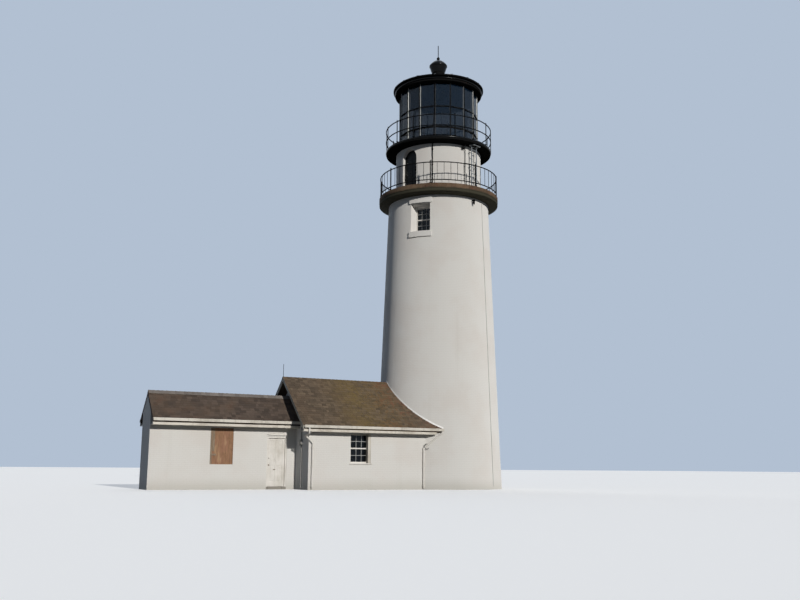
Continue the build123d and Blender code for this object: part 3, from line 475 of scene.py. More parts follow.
def weathered_shingle(name, mossy, dark, light):
    """Brown shingles, each in its own shade, with moss on the workroom's roof."""
    look = Look(name, Specular_IOR_Level=0.2)
    grain = look.noise(30.0, 4.0, 0.7, (1.0, 0.35, 0.35))
    patches = look.noise(0.9, 5.0, 0.6)
    fine = look.noise(7.0, 5.0, 0.7)
    colour = look.mix(look.tone(), dark, light)
    colour = look.over(colour, patches, 0.45, 0.7, 0.5, (92, 75, 60))
    if mossy:
        middle = look.times(look.span(look.x, -6.4, -4.2), look.span(look.x, -3.2, -1.8, 1.0, 0.0))
        moss = look.span(look.plus(fine, look.times(patches, 0.7)), 0.6, 1.1, 0.0, 0.8)
        colour = look.mix(look.times(moss, middle), colour, (112, 94, 56))
        right = look.times(look.span(look.x, -4.4, -2.6), look.span(look.x, -2.1, -1.2, 1.0, 0.3))
        red = look.span(look.plus(patches, look.times(fine, 1.4)), 1.1, 1.4, 0.0, 0.75)
        colour = look.mix(look.times(red, right), colour, (112, 73, 60))
    else:
        colour = look.over(colour, patches, 0.58, 0.72, 0.4, (92, 68, 56))
    colour = look.over(colour, grain, 0.5, 0.8, 0.45, (56, 49, 43))
    return look.done(colour, 0.9, look.plus(grain, look.times(fine, 0.6)), 0.5, 0.004)


def grey_board():
    """Bare boards gone grey in the weather."""
    look = Look("grey board", Specular_IOR_Level=0.2)
    grain = look.noise(14.0, 6.0, 0.7, (3.0, 3.0, 0.2))
    colour = look.mix(look.span(grain, 0.3, 0.7), (104, 92, 76), (150, 132, 112))
    return look.done(colour, 0.85, grain, 0.6, 0.004)


def pale_ridge():
    """The caps on the passage's ridge, paler than its shingles."""
    look = Look("pale ridge", Specular_IOR_Level=0.25)
    blotches = look.noise(5.0, 5.0, 0.7)
    colour = look.mix(look.tone(), (104, 97, 91), (128, 120, 113))
    colour = look.over(colour, blotches, 0.5, 0.72, 0.6, (84, 75, 67))
    return look.done(colour, 0.85, blotches, 0.4, 0.004)


def raw_board():
    """The weathered sheet over the window, its grain upright."""
    look = Look("raw board", Specular_IOR_Level=0.2)
    grain = look.noise(9.0, 6.0, 0.7, (3.0, 3.0, 0.25))
    knots = look.noise(3.0, 4.0, 0.6, (1.4, 1.4, 0.8))
    patches = look.noise(2.4, 3.0, 0.5, (1.6, 1.0, 0.7))
    bleached = look.noise(1.7, 3.0, 0.6, (2.6, 1.0, 0.6))
    colour = look.mix(look.span(grain, 0.3, 0.7), (116, 86, 64), (152, 117, 90))
    colour = look.over(colour, patches, 0.42, 0.6, 0.55, (142, 104, 84))
    colour = look.over(colour, knots, 0.58, 0.75, 0.6, (92, 66, 48))
    colour = look.over(colour, bleached, 0.56, 0.68, 0.5, (176, 146, 112))
    return look.done(colour, 0.85, grain, 0.6, 0.004)


def two_tone(name, noise, dark, light, roughness, strength=0.0, distance=0.0, **settings):
    """Two shades in one noise, with one roughness or a range."""
    look = Look(name, **settings)
    grain = look.noise(*noise)
    if isinstance(roughness, tuple):
        roughness = look.span(grain, 0.3, 0.7, *roughness)
    relief = grain if strength else None
    return look.done(look.mix(grain, dark, light), roughness, relief, strength, distance)


MASONRY_ROUND = white_masonry("white masonry, round", True)
MASONRY_FLAT = white_masonry("white masonry, flat", False)
STONE = weathered_stone()
PAVING = floor_stone()
IRON = black_iron("black iron", 0.12, (6, 7, 8), (14, 14, 14))
DULL_IRON = black_iron("dull black iron", 0.0, (17, 18, 19), (30, 29, 28))
# The lantern pane's dark blue tint is painted sky: it stands in for the dark blue sky seen through the glass
# and mirrored in it.
LANTERN_PANE = pane_glass("lantern pane", 0.57, (17, 35, 52))
WINDOW_PANE = pane_glass("window pane", 0.55, (14, 17, 20))
WHITE_WOOD = painted("white wood", (212, 208, 201), (190, 185, 175))
OLD_GUTTER = painted("old gutter", (200, 194, 182), (164, 156, 142), 0.15)
GREY_PAINT = painted("grey paint", (132, 132, 128), (108, 107, 103))
PALE_BAR = painted("pale bar", (176, 176, 172), (150, 149, 144))
PALE_CABLE = painted("pale cable", (192, 191, 186), (178, 177, 171))
# The flashing's white is brighter than its paint: a painted highlight for the sun catching its thin edge.
HIGHLIGHT_WHITE = painted("white, brightened for a painted highlight", (242, 240, 236), (232, 230, 225))
LANTERN_BAR = painted("lantern bar", (218, 219, 214), (198, 198, 192))
RAKE_WOOD = two_tone(
    "dark wood", (20.0, 4.0, 0.6, (1.0, 0.2, 1.5)), (146, 142, 130), (172, 167, 155), 0.6, 0.3, 0.003,
    Specular_IOR_Level=0.35,
)
MOSSY_SHINGLE = weathered_shingle("shingle, workroom", True, (76, 65, 53), (106, 91, 74))
PLAIN_SHINGLE = weathered_shingle("shingle, passage", False, (66, 57, 50), (92, 79, 69))
RIDGE = pale_ridge()
RAW_BOARD = raw_board()
GREY_BOARD = grey_board()
ZINC = two_tone(
    "galvanised", (16.0, 3.0), (120, 124, 126), (160, 163, 164), (0.35, 0.55), 0.15, 0.002, Metallic=0.65
)
METAL = two_tone("worn metal", (30.0, 4.0, 0.55), (58, 52, 44), (112, 98, 74), (0.3, 0.5), Metallic=0.8)


def dress_packed_nodes():
    """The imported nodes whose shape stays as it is."""
    dress(MASONRY_ROUND, "tower_wall shaft_window_surround")
    dress(MASONRY_FLAT, "workroom_front_wall workroom_back_wall gable_wall passage_front_wall")
    dress(MASONRY_FLAT, "passage_wall_over_door passage_back_wall passage_end_wall")
    dress(PAVING, "tower_floor watch_room_floor workroom_floor passage_floor")
    dress(DULL_IRON, "lower_gallery_railing upper_gallery_railing lantern_floor lantern_glazing_bars")
    dress(DULL_IRON, "lightning_rod gallery_lamps ridge_rod")
    dress(IRON, "lantern_roof")
    dress(LANTERN_PANE, "lantern_glass")
    dress(WINDOW_PANE, "window_glass")
    dress(WHITE_WOOD, "shaft_window_sash workroom_window_sashes rain_pipes passage_door_frame")
    dress(HIGHLIGHT_WHITE, "roof_flashing")
    dress(PALE_CABLE, "lightning_conductor")
    dress(OLD_GUTTER, "workroom_gutters passage_gutters")
    dress(RAKE_WOOD, "workroom_rake_boards")
    dress(MOSSY_SHINGLE, "workroom_roof")
    dress(PLAIN_SHINGLE, "passage_roof")
    dress(RAW_BOARD, "boarded_window")
    dress(ZINC, "watch_room_ladder")
    dress(GREY_PAINT, "gable_conduit")


def lower_deck():
    """The stone deck in sixteen blocks, with a course over its soffit and an eased lip."""
    shape = Shape()
    rng = random.Random(3)
    course_r, course_z = DECK_R - 0.008, SHAFT_TOP_Z + 0.06
    profile = [
        (INNER_R, SHAFT_TOP_Z), *at(SHAFT_TOP_R, SHAFT_TOP_Z, (0, 0), (0.03, 0.008)),
        *at(course_r, course_z, (-0.02, -0.004), (-0.006, 0.003), (0, 0.016)),
        *at(course_r, LIP_Z, (0, -0.012), (-0.008, 0)), *at(DECK_R, LIP_Z, (-0.005, 0.006), (0, 0.02)),
        *at(DECK_R, DECK_Z, (0, -0.022), (-0.006, -0.008), (-0.02, -0.002), (-0.05, 0)), (INNER_R, DECK_Z),
    ]
    half_joint = math.degrees(0.0025 / DECK_R)
    step = 360 / SIDES
    for k in range(SIDES):
        shape.lathe(profile, k * step + half_joint, (k + 1) * step - half_joint, 10, rng.random())
    shape.piece("lower_deck_stones", STONE, "tan_stone", replaces=["lower_gallery_deck"], sharp=50)


def arched_drum(shape, z0, z1, angle, width, height):
    """The watch room's round wall, with a round-headed opening."""
    half, columns, segments = width / 2, 24, 96
    spring_z = z0 + height - half
    levels = (z0, spring_z, z1)
    half_out, half_in = (math.degrees(math.asin(half / r)) for r in (WATCH_R, INNER_R))
    rings = []
    for k in range(segments + 1):
        out_angle = angle + half_out + (360 - 2 * half_out) * k / segments
        in_angle = angle + half_in + (360 - 2 * half_in) * k / segments
        ring = [polar(INNER_R, in_angle, z) for z in levels]
        rings.append(ring + [polar(WATCH_R, out_angle, z) for z in reversed(levels)])
    shape.loft(rings, ends="open")
    last = 6 * segments
    shape.faces += [(0, 5, 4, 1), (last, last + 1, last + 4, last + 5)]
    rings = []
    for c, s in arc(180, 0, columns):
        out_angle = angle + math.degrees(math.asin(half * c / WATCH_R))
        in_angle = angle + math.degrees(math.asin(half * c / INNER_R))
        top = spring_z + half * s
        rings.append([
            polar(WATCH_R, out_angle, top), polar(INNER_R, in_angle, top),
            polar(INNER_R, in_angle, z1), polar(WATCH_R, out_angle, z1),
        ])
    shape.loft(rings, ends="open")


def watch_room():
    """The drum with its arched doorway and the iron door."""
    shape = Shape()
    door_w, door_h = 0.833, high("watch_room_door").z - DECK_Z
    arched_drum(shape, DECK_Z, UPPER_Z0, WATCH_DOOR_ANGLE, door_w, door_h)
    shape.piece("watch_room_drum", MASONRY_ROUND, "white_masonry", replaces=["watch_room_wall"])

    leaf = Shape()
    front, thick = WATCH_R - 0.19, 0.05
    place = turned(WATCH_DOOR_ANGLE) @ moved(0, 0, DECK_Z)
    half, spring = door_w / 2, door_h - door_w / 2
    outline = [(-half, 0.0), (half, 0.0), *((half * c, spring + half * s) for c, s in arc(0, 180, 24))]
    leaf.loft([[(x, y, z) for y, z in outline] for x in (front - thick, front)], place=place)
    edge, band, foot = 0.06, 0.07, 0.08
    for z in (foot, 0.62, 1.16):
        leaf.box(front, front + 0.014, edge - half, half - edge, z, z + band, place)
    for y in (edge - half, -band / 2, half - edge - band):
        leaf.box(front, front + 0.012, y, y + band, foot, spring + 0.05, place)
    leaf.box(front, front + 0.05, half - 0.2, half - 0.17, 0.95, 1.1, place)
    leaf.piece("watch_room_iron_door", IRON, replaces=["watch_room_door"], bevel=0.003)


def railing_trim():
    """Base plates, bolts and knobs of both railings."""
    shape = Shape()
    plate_t, bolt = 0.012, 0.008
    for node, radius, deck_r, deck_z, count, start, side in (
        ("lower_gallery_railing", RAIL_R, DECK_R, DECK_Z, 8, RAIL_START, 0.04),
        ("upper_gallery_railing", UPPER_RAIL_R, UPPER_R, UPPER_Z1, SIDES, LANTERN_START, 0.03),
    ):
        plate, knob_r, top = side * 1.3, side * 0.62, high(node).z
        outer = min(plate, deck_r - radius - 0.002)
        plate_z = deck_z + plate_t
        knob = at(0, top, (0, -0.004), (knob_r * 0.7, -0.002))
        knob += [(knob_r * s, top + knob_r * (1 - c)) for c, s in arc(0, 180, 8)[1:-1]]
        knob.append((0, top + 2 * knob_r))
        for spot in around(count, start):
            place = spot @ moved(radius, 0, 0)
            shape.box(-plate, outer, -plate, plate, deck_z, plate_z, place)
            for x in (-plate * 0.7, outer * 0.7):
                for y in (-plate * 0.7, plate * 0.7):
                    shape.box(x - bolt, x + bolt, y - bolt, y + bolt, plate_z, plate_z + 0.012, place)
            shape.solid_of_turn(knob, 12, place)
    shape.piece("railing_trim", DULL_IRON)


def upper_deck():
    """The iron deck, with seams across its soffit and a rounded rim."""
    shape = Shape()
    top, base, rim_depth = UPPER_Z1, UPPER_Z0, 0.03
    fascia_r = UPPER_R - rim_depth
    shape.lathe([
        (INNER_R, base), *at(fascia_r, base, (-0.012, 0), (0, 0.01)),
        *at(fascia_r, top, (0, -0.006), (-0.012, 0)), (INNER_R, top),
    ])
    shape.lathe(at(WATCH_R, base, (0, -0.05), (0.035, -0.02), (0.05, 0), (0, 0)))
    for place in around(SIDES, LANTERN_START + 180 / SIDES):
        shape.box(WATCH_R + 0.05, fascia_r - 0.02, -0.03, 0.03, base - 0.007, base + 0.01, place)
    shape.piece("upper_deck_plate", DULL_IRON, replaces=["upper_gallery_deck"], sharp=50)

    roll = Shape()
    z0, z1, back_r = base + 0.066, top - 0.014, fascia_r - 0.01
    roll.lathe([(back_r, z0), *half_round(UPPER_R, z0, z1, rim_depth, 8), (back_r, z1)])
    roll.piece("upper_deck_rim", IRON, sharp=50)


def parapet():
    """The iron parapet in sixteen lapped panels, with a foot ring and a coping."""
    shape = Shape()
    foot = at(
        LANTERN_R, UPPER_Z1,
        (-0.012, 0), (0.03, 0), (0.03, 0.012), (0.002, 0.03), (0.002, 0.09), (-0.012, 0.1),
    )
    coping = at(
        LANTERN_R, GLASS_Z0,
        (-0.09, -0.05), (-0.012, -0.05), (0.012, -0.03), (0.018, -0.012), (0.01, 0.004), (-0.01, 0.008),
        (-0.09, 0),
    )
    inner, outer, rivet = LANTERN_R - 0.06, LANTERN_R - 0.012, 0.006
    shape.lathe([(inner, UPPER_Z1), (outer, UPPER_Z1), (outer, GLASS_Z0), (inner, GLASS_Z0)])
    shape.lathe(foot)
    shape.lathe(coping)
    for place in around(SIDES, LANTERN_START):
        shape.box(LANTERN_R - 0.02, LANTERN_R, -0.04, 0.04, UPPER_Z1 + 0.09, GLASS_Z0 - 0.04, place)
        for z in (UPPER_Z1 + 0.115, GLASS_Z0 - 0.07):
            for y in (-0.022, 0.022):
                shape.box(LANTERN_R, LANTERN_R + rivet, y - rivet, y + rivet, z - rivet, z + rivet, place)
    shape.piece("lantern_parapet_iron", IRON, replaces=["lantern_parapet"])


def mullions():
    """Black half-round caps outside, and pale bars behind them that catch the sun."""
    caps, bars = Shape(), Shape()
    half, depth = 0.0225, 0.016
    back = LANTERN_R - depth
    outline = [(back + depth * s, -half * c) for c, s in arc(0, 180, 6)]
    rings = [[(x, y, z) for x, y in outline] for z in (GLASS_Z0, GLASS_Z1)]
    for place in around(SIDES, LANTERN_START):
        caps.loft(rings, place=place)
        bars.box(LANTERN_R - 0.16, back, -0.019, 0.019, GLASS_Z0, GLASS_Z1, place)
    caps.piece("mullion_caps", DULL_IRON, replaces=["lantern_mullions"])
    bars.piece("mullion_bars", LANTERN_BAR, "white_wood", bevel=0.004)


def cornice():
    """Three rounded mouldings under the roof's rim."""
    foot, inner_r, low_r, middle_r, depth = GLASS_Z1, 1.72, 2.035, 2.05, 0.04
    dull = Shape()
    dull.lathe([
        (inner_r, foot), (1.888, foot), (1.90, foot + 0.006),
        *half_round(low_r, foot + 0.02, foot + 0.09, depth),
        (low_r - 0.045, foot + 0.12), (middle_r - 0.045, foot + 0.222),
        *half_round(RIM_R - 0.004, foot + 0.228, CORNICE_Z1, 0.03), (inner_r, CORNICE_Z1),
    ])
    dull.piece("lantern_cornice_iron", DULL_IRON, replaces=["lantern_cornice"], sharp=50)

    bright = Shape()
    rolls = ((middle_r, foot + 0.13, foot + 0.205), (RIM_R, foot + 0.245, CORNICE_Z1 - 0.02))
    for r, z0, z1 in rolls:
        bright.lathe([(r - 0.05, z0), *half_round(r, z0, z1, depth), (r - 0.05, z1)])
    bright.piece("lantern_cornice_rolls", IRON, sharp=50)


def roof_ribs():
    """Standing seams where the roof's plates meet."""
    shape = Shape()
    slope = (NECK_Z - CORNICE_Z1 - 0.01) / (RIM_R - 0.34)
    run = RIM_R - 0.36
    lift = moved(RIM_R - 0.01, 0, CORNICE_Z1 + 0.012) @ Matrix.Rotation(math.atan(slope), 4, "Y")
    for place in around(SIDES, LANTERN_START):
        shape.box(-math.hypot(run, run * slope), 0.0, -0.02, 0.02, -0.004, 0.026, place @ lift)
    shape.piece("roof_seams", IRON, bevel=0.006)


def ventilator():
    """The mushroom-shaped vent with its ball, and its neck."""
    cowl = Shape()
    outline = at(
        0, NECK_Z,
        (0, 0.19), (0.28, 0.19), (0.302, 0.2), (0.312, 0.235), (0.335, 0.29), (0.362, 0.37), (0.388, 0.45),
        (0.405, 0.505), (0.42, 0.52), (0.426, 0.535), (0.427, 0.575), (0.42, 0.6), (0.375, 0.655),
        (0.335, 0.705), (0.28, 0.755), (0.22, 0.80), (0.15, 0.838), (0.09, 0.862), (0.065, 0.885),
        (0.06, 0.905),
    )
    ball_z, ball_r = NECK_Z + 0.96, 0.078
    outline += [(ball_r * s, ball_z - ball_r * c) for c, s in arc(30, 165, 9)]
    outline += at(0, NECK_Z, (0.022, 1.05), (0.02, 1.09), (0, 1.09))
    cowl.solid_of_turn(outline, 48)
    cowl.piece("vent_cowl", IRON, replaces=["roof_ventilator"], sharp=60)
    neck = Shape()
    outline = at(
        0, NECK_Z,
        (0, -0.002), (0.35, -0.002), (0.345, 0.02), (0.31, 0.035), (0.302, 0.06), (0.302, 0.2), (0, 0.2),
    )
    neck.solid_of_turn(outline, 48)
    neck.piece("vent_neck", DULL_IRON, sharp=60)


def roof_courses(name, material, side, mid_y, eave_y, ridge_z, slope, x0, x1, against_tower, seed):
    """Shingles in courses from the eave to the ridge, each one a thin wedge."""
    rng = random.Random(seed)
    shape = Shape()
    run = math.hypot(eave_y, eave_y * slope)
    exposure, cover, gap, overhang = 0.14, 0.19, 0.004, 0.035

    def on_roof(x, s, lift):
        """A point s up the slope from the eave and lift above the slab."""
        y = eave_y * (1 - s / run)
        return Vector((x, mid_y + side * y, ridge_z - y * slope + lift))

    def limit(s):
        """Where the course stops at s up the slope: its end, or the shaft."""
        if not against_tower:
            return x1
        place = on_roof(0.0, s, 0.0)
        r = shaft_radius(place.z) + gap
        return -math.sqrt(max(r * r - place.y * place.y, 1.0))

    for course in range(math.ceil(run / exposure)):
        s0 = course * exposure - (overhang if course == 0 else 0.0)
        s1 = min(s0 + cover, run - gap)
        x = x0 - rng.uniform(0.0, 0.15)
        while x < limit(s0):
            width = rng.uniform(0.11, 0.27)
            left, right = max(x, x0), x + width - gap
            x += width
            s = s0 + rng.uniform(-0.004, 0.004)
            butt = rng.uniform(0.011, 0.016)
            low_right, high_right = min(right, limit(s)), min(right, limit(s1))
            if low_right - left < 0.02 or high_right - left < 0.005:
                continue
            points = [
                on_roof(left, s, 0.001), on_roof(low_right, s, 0.001),
                on_roof(left, s, butt), on_roof(low_right, s, butt),
                on_roof(left, s1, 0.004), on_roof(high_right, s1, 0.004),
            ]
            faces = [(0, 1, 3, 2), (2, 3, 5, 4), (0, 2, 4), (1, 5, 3), (0, 4, 5, 1)]
            if side > 0:
                faces = [face[::-1] for face in faces]
            shape.add(points, faces, rng.random())
    shape.piece(name, material, "shingle", sharp=20)


def ridge_caps(name, material, mid_y, ridge_z, slope, wing, raised, x0, x1, seed):
    """Folded caps lapped along a ridge."""
    rng = random.Random(seed)
    shape = Shape()
    lap, exposure, thick = 0.05, 0.17, 0.012
    section = [(-wing, 0.0), (0.0, 0.0), (wing, 0.0), (wing, -thick), (0.0, -thick), (-wing, -thick)]
    x = x0
    while x < x1 - 0.02:
        rings = []
        for end, lift in ((x, raised + thick), (min(x + exposure + lap, x1), raised)):
            rings.append([(end, mid_y + y, ridge_z - abs(y) * slope + lift + up) for y, up in section])
        shape.loft(rings, rng.random())
        x += exposure
    shape.piece(name, material, "shingle", sharp=25)


def roofs():
    """Shingles and ridge caps of both rooms."""
    room_x, hall_x = ROOM_RAKE_X - 0.012, ROOM_X - 0.004
    room = (0.0, ROOM_EAVE_Y, ROOM_RIDGE_Z, ROOM_SLOPE, room_x, -1.0, True)
    hall = (PASSAGE_MID_Y, PASSAGE_EAVE_Y, PASSAGE_RIDGE_Z, PASSAGE_SLOPE, PASSAGE_X, hall_x, False)
    roof_courses("workroom_shingles_front", MOSSY_SHINGLE, -1, *room, 11)
    roof_courses("workroom_shingles_back", MOSSY_SHINGLE, 1, *room, 12)
    roof_courses("passage_shingles_front", PLAIN_SHINGLE, -1, *hall, 13)
    roof_courses("passage_shingles_back", PLAIN_SHINGLE, 1, *hall, 14)
    tower_x = -shaft_radius(ROOM_RIDGE_Z) - 0.035
    room = (0.0, ROOM_RIDGE_Z, ROOM_SLOPE, 0.08, 0.016, room_x, tower_x)
    hall = (PASSAGE_MID_Y, PASSAGE_RIDGE_Z, PASSAGE_SLOPE, 0.125, 0.034, PASSAGE_X, hall_x)
    ridge_caps("workroom_ridge", MOSSY_SHINGLE, *room, 15)
    ridge_caps("passage_ridge", RIDGE, *hall, 16)


def glazing_bars(shape, place, width, height, casing):
    """The thin bars of a window with front face at x = 0, three lights wide and four high."""
    stile, half, front, back = 0.05, 0.008, -0.004, -0.041
    light_w, light_h = width / 2 - stile - casing, height / 2 - stile
    for z0, z1 in ((stile / 2, light_h), (-light_h, -stile / 2)):
        for y in (-light_w / 3, light_w / 3):
            shape.box(back, front, y - half, y + half, z0, z1, place)
        middle = (z0 + z1) / 2
        shape.box(back, front, -light_w, light_w, middle - half, middle + half, place)


def windows():
    """Glazing bars of every window, and the sills of the workroom's."""
    bars, sills = Shape(), Shape()
    (x0, low_y, z0), (x1, high_y, z1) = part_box("workroom_window_sashes")
    ear, sill_out, sill_in, sill_t = 0.04, 0.045, 0.2, 0.055
    for side, front_y in ((-1, low_y), (1, high_y)):
        place = moved((x0 + x1) / 2, front_y, (z0 + z1) / 2) @ turned(side * 90)
        glazing_bars(bars, place, x1 - x0, z1 - z0, 0.045)
        y0, y1 = side * (ROOM_HALF_W + sill_out), side * (ROOM_HALF_W - sill_in)
        sills.box(x0 - ear, x1 + ear, y0, y1, z0 - sill_t, z0 + 0.002)
    sash_r, sash_z, sash_w, sash_h = shaft_radius(SHAFT_SILL_Z) - 0.52, SHAFT_SILL_Z + 0.63, 0.72, 1.10
    glazing_bars(bars, turned(SHAFT_WINDOW_ANGLE) @ moved(sash_r, 0, sash_z), sash_w, sash_h, 0.0)
    bars.piece("glazing_bars", PALE_BAR, "white_wood", bevel=0.002)
    sills.piece("window_sills", WHITE_WOOD, "white_wood", bevel=0.006)


def window_casings():
    """Boards round the workroom's sashes, the one on the tower's side out at the wall's face."""
    shape = Shape()
    (x0, low_y, z0), (x1, high_y, z1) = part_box("workroom_window_sashes")
    wide, proud, head, outer_wide, set_back = 0.075, 0.012, 0.06, 0.12, 0.014
    for side, front_y in ((-1, low_y), (1, high_y)):
        shape.box(x0, x0 + wide, front_y, front_y + side * proud, z0, z1)
        shape.box(x0, x1, front_y, front_y + side * proud, z1 - head, z1)
        shape.box(x1 - outer_wide, x1, front_y, side * (ROOM_HALF_W - set_back), z0, z1)
    shape.piece("window_casings", OLD_GUTTER, "white_wood", bevel=0.003)


def door_leaf():
    """The passage's panelled door, with its knobs, lock, hinges and letter slot."""
    leaf_w, leaf_t, back_in = 0.73, 0.045, 0.11
    stile, recess, half_muntin, inset, proud = 0.11, 0.011, 0.045, 0.035, 0.006
    x0, z0, z1 = low("passage_door").x, low("passage_door").z, high("passage_door").z
    x1, mid_x = x0 + leaf_w, x0 + leaf_w / 2
    back_y = low("passage_door_frame").y + back_in
    front_y = back_y - leaf_t
    rails = ((z0, z0 + 0.2), (z0 + 0.82, z0 + 0.99), (z1 - 0.12, z1))
    panels = [(below, above) for (_, below), (above, _) in zip(rails, rails[1:])]
    both_faces = ((front_y, -1), (back_y, 1))
    shape = Shape()
    shape.box(x0, x1, front_y + recess, back_y - recess, z0, z1)
    for face_y, out in both_faces:
        panel_y = face_y - out * recess
        shape.box(x0, x0 + stile, face_y, panel_y, z0, z1)
        shape.box(x1 - stile, x1, face_y, panel_y, z0, z1)
        for below, above in rails:
            shape.box(x0 + stile, x1 - stile, face_y, panel_y, below, above)
        for below, above in panels:
            shape.box(mid_x - half_muntin, mid_x + half_muntin, face_y, panel_y, below, above)
            for a, b in ((x0 + stile, mid_x - half_muntin), (mid_x + half_muntin, x1 - stile)):
                shape.box(a + inset, b - inset, panel_y, panel_y + out * proud, below + inset, above - inset)
    shape.piece("door_leaf", WHITE_WOOD, "white_wood", DOOR, replaces=["passage_door"], bevel=0.004)

    metal = Shape()
    knob_x, knob_z, lock_z, slot_z = x0 + 0.065, z0 + 0.832, z0 + 1.092, z0 + 0.64
    rose = [(0, 0), (0.03, 0.0), (0.03, 0.003), (0.026, 0.007), (0.012, 0.009), (0.010, 0.03)]
    knob = [(0.018, 0.036), (0.026, 0.046), (0.028, 0.056), (0.024, 0.068), (0.013, 0.076), (0, 0.078)]
    for face_y, out in both_faces:
        metal.solid_of_turn(rose + knob, 32, moved(knob_x, face_y, knob_z) @ tipped(90 * out))
    lock = [(0, 0), (0.023, 0.0), (0.023, 0.006), (0.019, 0.012), (0, 0.012)]
    metal.solid_of_turn(lock, 32, moved(knob_x, front_y, lock_z) @ tipped(-90))
    pin_x, pin_y, pin_r, plate = x1 + 0.004, back_y + 0.011, 0.011, 0.038
    for height in (0.253, 0.933, 1.613):
        foot = z0 + height
        metal.post((pin_x, pin_y, foot), plate, pin_r, 20)
        metal.box(pin_x - plate, pin_x, back_y, back_y + 0.003, foot, foot + plate)
    metal.box(mid_x - 0.11, mid_x - 0.02, front_y - 0.004, front_y + 0.002, slot_z, slot_z + 0.03)
    metal.piece("door_hardware", METAL, body=DOOR, bevel=0.001)


def door_hood():
    """The low arched board over the passage's door, with a drip and a moulding."""
    shape = Shape()
    (x0, front, z0), (x1, _, z1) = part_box("passage_door_hood")
    foot, ends, crown = z0 + 0.06, z0 + 0.105, z1 - 0.02
    mid_x, half = (x0 + x1) / 2, (x1 - x0) / 2
    back, set_back, moulding, steps = low("passage_front_wall").y, 0.02, 0.03, 24
    arch = []
    for k in range(steps + 1):
        share = 2 * k / steps - 1
        arch.append((mid_x + half * share, ends + (crown - ends) * (1 - share * share)))
    for (xa, za), (xb, zb) in zip(arch, arch[1:]):
        for y0, low_a, low_b in ((front + set_back, foot, foot), (front, za - moulding, zb - moulding)):
            section = ((xa, low_a), (xb, low_b), (xb, zb), (xa, za))
            shape.loft([[(x, y, z) for x, z in section] for y in (back, y0)])
    shape.box(x0, x1, front, back, foot - 0.005, foot + 0.02)
    shape.piece("door_hood", WHITE_WOOD, "white_masonry", replaces=["passage_door_hood"])


def boarded_window():
    """The grey boards at the sheet's left edge, and the nails along both edges."""
    strips, nails = Shape(), Shape()
    (left, front, foot), (right, _, top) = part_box("boarded_window")
    height = top - foot
    for x0, x1, proud, z0, z1 in (
        (0.002, 0.075, 0.014, 0.0, height), (0.085, 0.175, 0.01, 0.5, height),
        (0.03, 0.24, 0.018, 0.33, 0.4),
    ):
        strips.box(left + x0, left + x1, front - proud, front + 0.001, foot + z0, foot + z1)
    strips.piece("boarded_window_battens", GREY_BOARD, "raw_board", bevel=0.003)
    head, rows, margin = 0.006, 9, 0.06
    for k in range(rows):
        z = foot + margin + (height - 2 * margin) * k / (rows - 1)
        for x, proud in ((left + 0.04, 0.016), (right - 0.03, 0.002)):
            nails.box(x - head, x + head, front - proud, front, z - head, z + head)
    nails.piece("boarded_window_nails", METAL, bevel=0.001)


def watch_room_pipes():
    """The dark and the grey pipe on the watch room's wall."""
    gap, coupling, coupling_h, flange = 0.012, 0.006, 0.07, 0.03
    for name, angle, radius, material in (
        ("wide_pipe", RAIL_START, 0.021, DULL_IRON), ("thin_pipe", 277.0, 0.0225, GREY_PAINT)
    ):
        shape = Shape()
        x = WATCH_R + gap + radius
        clip = radius + 0.012
        shape.post(polar(x, angle, DECK_Z), UPPER_Z0 - DECK_Z, radius, 20)
        for z in (DECK_Z + 0.35, DECK_Z + 1.05, DECK_Z + 1.75):
            shape.post(polar(x, angle, z), coupling_h, radius + coupling, 20)
            shape.box(WATCH_R - 0.003, x, -clip, clip, z + 0.02, z + 0.05, turned(angle))
        shape.post(polar(x, angle, DECK_Z), 0.012, radius + flange)
        shape.piece(name, material, replaces=["watch_room_pipes"], bevel=0.002)


def ladder_fixings():
    """The ladder's brackets and feet, and the bright hatch curb under the upper deck."""
    shape, hatch = Shape(), Shape()
    off_wall, half, angle = 0.187, 0.1675, 288.2
    place = turned(angle)
    ladder_r = WATCH_R + off_wall
    for y in (-half, half):
        for z in (DECK_Z + 0.45, DECK_Z + 1.1, DECK_Z + 1.75):
            shape.box(WATCH_R - 0.02, ladder_r, y - 0.02, y + 0.02, z, z + 0.012, place)
        shape.box(ladder_r - 0.04, ladder_r + 0.04, y - 0.05, y + 0.05, DECK_Z, DECK_Z + 0.014, place)
    inner, outer, wide, deep, curb = WATCH_R + 0.09, UPPER_R - 0.12, 0.25, 0.045, 0.03
    top = UPPER_Z0 + 0.01
    for y in (-wide, wide - curb):
        shape.box(inner, outer, y, y + curb, UPPER_Z0 - deep, top, place)
    for x in (inner, outer - curb):
        shape.box(x, x + curb, -wide, wide, UPPER_Z0 - deep, top, place)
    shape.piece("ladder_fixings", ZINC, "galvanised", bevel=0.003)
    hatch.box(inner, outer, -wide, wide, UPPER_Z0 - 0.012, top, place)
    hatch.piece("hatch_cover", DULL_IRON, bevel=0.003)


